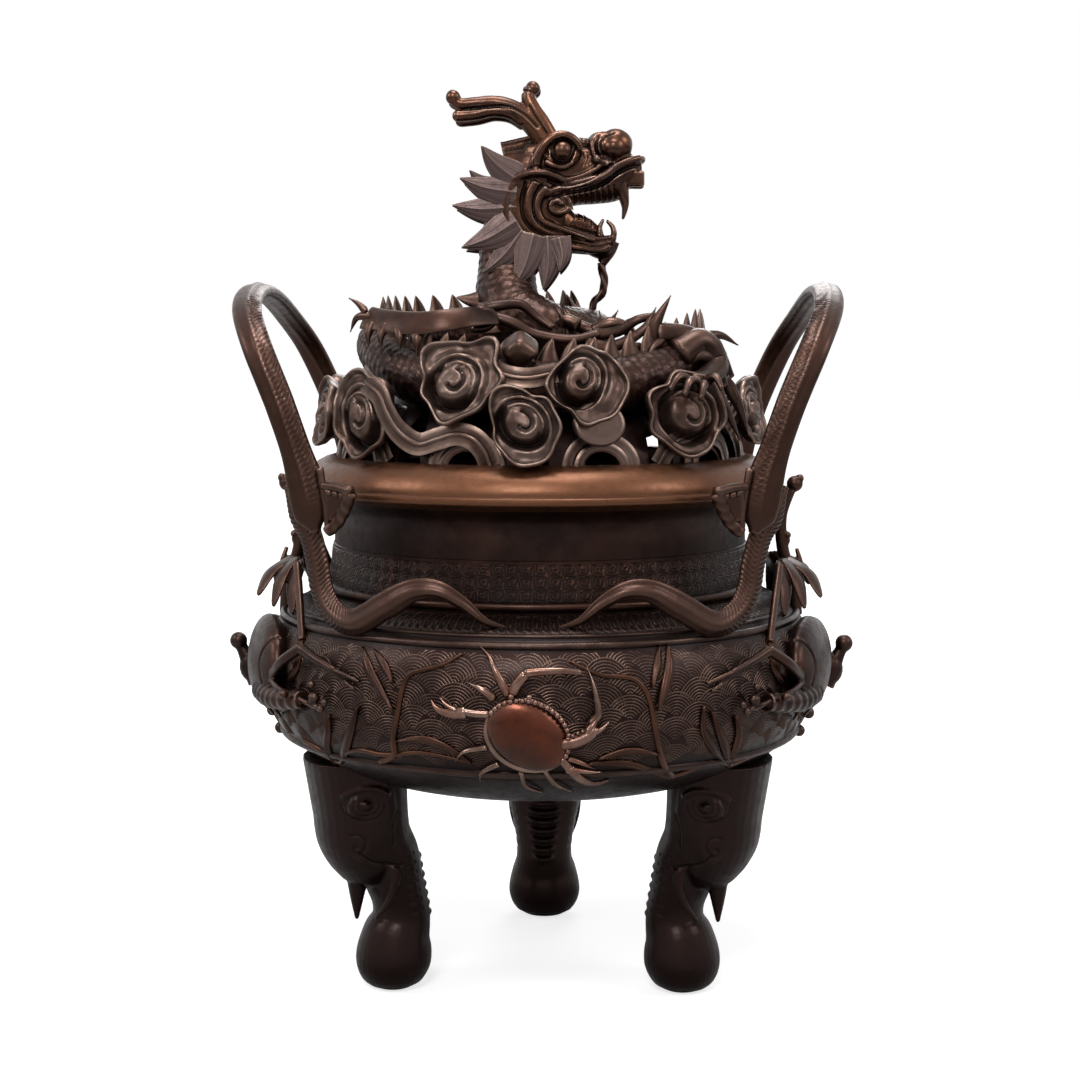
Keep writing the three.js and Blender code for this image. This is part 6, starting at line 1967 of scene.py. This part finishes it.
class BURNER_OT_dragon_head(bpy.types.Operator):
    """Models the dragon's head with its jaw, horns, manes and beard"""
    bl_idname = "burner.dragon_head"
    bl_label = "Dragon head"

    def execute(self, context):
        dragon_skull()
        dragon_jaw()
        dragon_horns()
        dragon_manes()
        return {"FINISHED"}


# Floor, lamps and camera

# Name, place, diameter and power
LAMPS = [
    ("key", (-0.2, -1.35, 1.3), 0.6, 14),
    ("left", (-1.25, -0.4, 1.1), 0.6, 7),
    ("right", (1.25, -0.5, 1.1), 0.6, 6),
    ("top", (0.05, -0.15, 1.75), 0.8, 22),
    ("back", (0.2, 1.5, 1.2), 1, 8),
]


def pale_floor():
    """A floor that runs out to white for the camera and keeps the shadow of the feet."""
    bm = bmesh.new()
    bmesh.ops.create_grid(bm, x_segments=1, y_segments=1, size=12)
    floor = placed("floor", mesh_of("floor", bm))
    graph = Graph("floor")
    inputs = graph.shader.inputs
    inputs["Base Color"].default_value = (*bpy.context.scene.burner_finishes.floor, 1)
    inputs["Roughness"].default_value = 0.9
    inputs["Emission Color"].default_value = (1, 1, 1, 1)
    away = graph.add("ShaderNodeVectorMath", operation="LENGTH")
    graph.link(graph.place, away.inputs[0])
    glow = graph.span(away.outputs["Value"], 0.35, 1.1, 0.72, 1, "LINEAR")
    seen = graph.add("ShaderNodeLightPath").outputs["Is Camera Ray"]
    graph.link(graph.math("MULTIPLY", seen, glow), inputs["Emission Strength"])
    floor.data.materials.append(graph.material)


def pale_world():
    world = bpy.data.worlds.new("pale")
    bpy.context.scene.world = world
    world.use_nodes = True
    tree = world.node_tree
    back = tree.nodes["Background"]
    back.inputs["Color"].default_value = (1, 1, 1, 1)
    seen = tree.nodes.new("ShaderNodeLightPath")
    shown = seen.outputs["Is Camera Ray"]
    for kind in ("Is Glossy Ray", "Is Transmission Ray"):
        either = tree.nodes.new("ShaderNodeMath")
        either.operation = "MAXIMUM"
        tree.links.new(shown, either.inputs[0])
        tree.links.new(seen.outputs[kind], either.inputs[1])
        shown = either.outputs[0]
    level = tree.nodes.new("ShaderNodeMapRange")
    level.inputs["To Min"].default_value = 0.22
    level.inputs["To Max"].default_value = 1.0
    tree.links.new(shown, level.inputs["Value"])
    tree.links.new(level.outputs["Result"], back.inputs["Strength"])


def hang_lamps():
    for name, place, size, power in LAMPS:
        lamp = bpy.data.lights.new(name, "AREA")
        lamp.shape = "DISK"
        lamp.size = size
        lamp.energy = power
        holder = placed(name, lamp)
        holder.location = place
        aim = Vector((0, 0, 0.24)) - Vector(place)
        holder.rotation_euler = aim.to_track_quat("-Z", "Y").to_euler()


def set_camera():
    lens = bpy.data.cameras.new("camera")
    lens.lens = 63.64
    lens.sensor_width = 36
    lens.sensor_fit = "AUTO"
    holder = placed("camera", lens)
    holder.location = (0.0310, -1.0445, 0.3395)
    aim = Vector((0, 0, 0.2365)) - holder.location
    holder.rotation_euler = aim.to_track_quat("-Z", "Y").to_euler()
    bpy.context.scene.camera = holder


class BURNER_OT_stage(bpy.types.Operator):
    """Lays the pale floor and sets the lamps and the camera"""
    bl_idname = "burner.stage"
    bl_label = "Floor, lamps and camera"

    def execute(self, context):
        context.scene.view_settings.view_transform = "Standard"
        pale_floor()
        pale_world()
        hang_lamps()
        set_camera()
        return {"FINISHED"}


STEPS = [BURNER_OT_stage, BURNER_OT_bowl, BURNER_OT_waves, BURNER_OT_plants, BURNER_OT_neck,
         BURNER_OT_handles, BURNER_OT_vines, BURNER_OT_crab, BURNER_OT_crayfish, BURNER_OT_twigs,
         BURNER_OT_legs, BURNER_OT_dome, BURNER_OT_clouds, BURNER_OT_dragon_body,
         BURNER_OT_dragon_head]


class BURNER_PT_panel(bpy.types.Panel):
    """Sizes, colours and steps of the burner"""
    bl_idname = "BURNER_PT_panel"
    bl_label = "Incense burner"
    bl_space_type = "VIEW_3D"
    bl_region_type = "UI"
    bl_category = "Burner"

    def draw(self, context):
        layout = self.layout
        for group in (context.scene.burner_vessel, context.scene.burner_lid,
                      context.scene.burner_finishes):
            box = layout.box()
            for name in group.__annotations__:
                box.prop(group, name)
        for step in STEPS:
            layout.operator(step.bl_idname)


GROUPS = {"burner_vessel": BurnerVesselSizes, "burner_lid": BurnerLidSizes,
          "burner_finishes": BurnerFinishes}


def register():
    for made in (*GROUPS.values(), *STEPS, BURNER_PT_panel):
        bpy.utils.register_class(made)
    for name, group in GROUPS.items():
        setattr(bpy.types.Scene, name, bpy.props.PointerProperty(type=group))


def unregister():
    for name in GROUPS:
        delattr(bpy.types.Scene, name)
    for made in (BURNER_PT_panel, *reversed(STEPS), *reversed(GROUPS.values())):
        bpy.utils.unregister_class(made)


def main():
    register()
    for step in STEPS:
        group, name = step.bl_idname.split(".")
        getattr(getattr(bpy.ops, group), name)()
    bpy.context.view_layer.update()


if __name__ == "__main__":
    main()
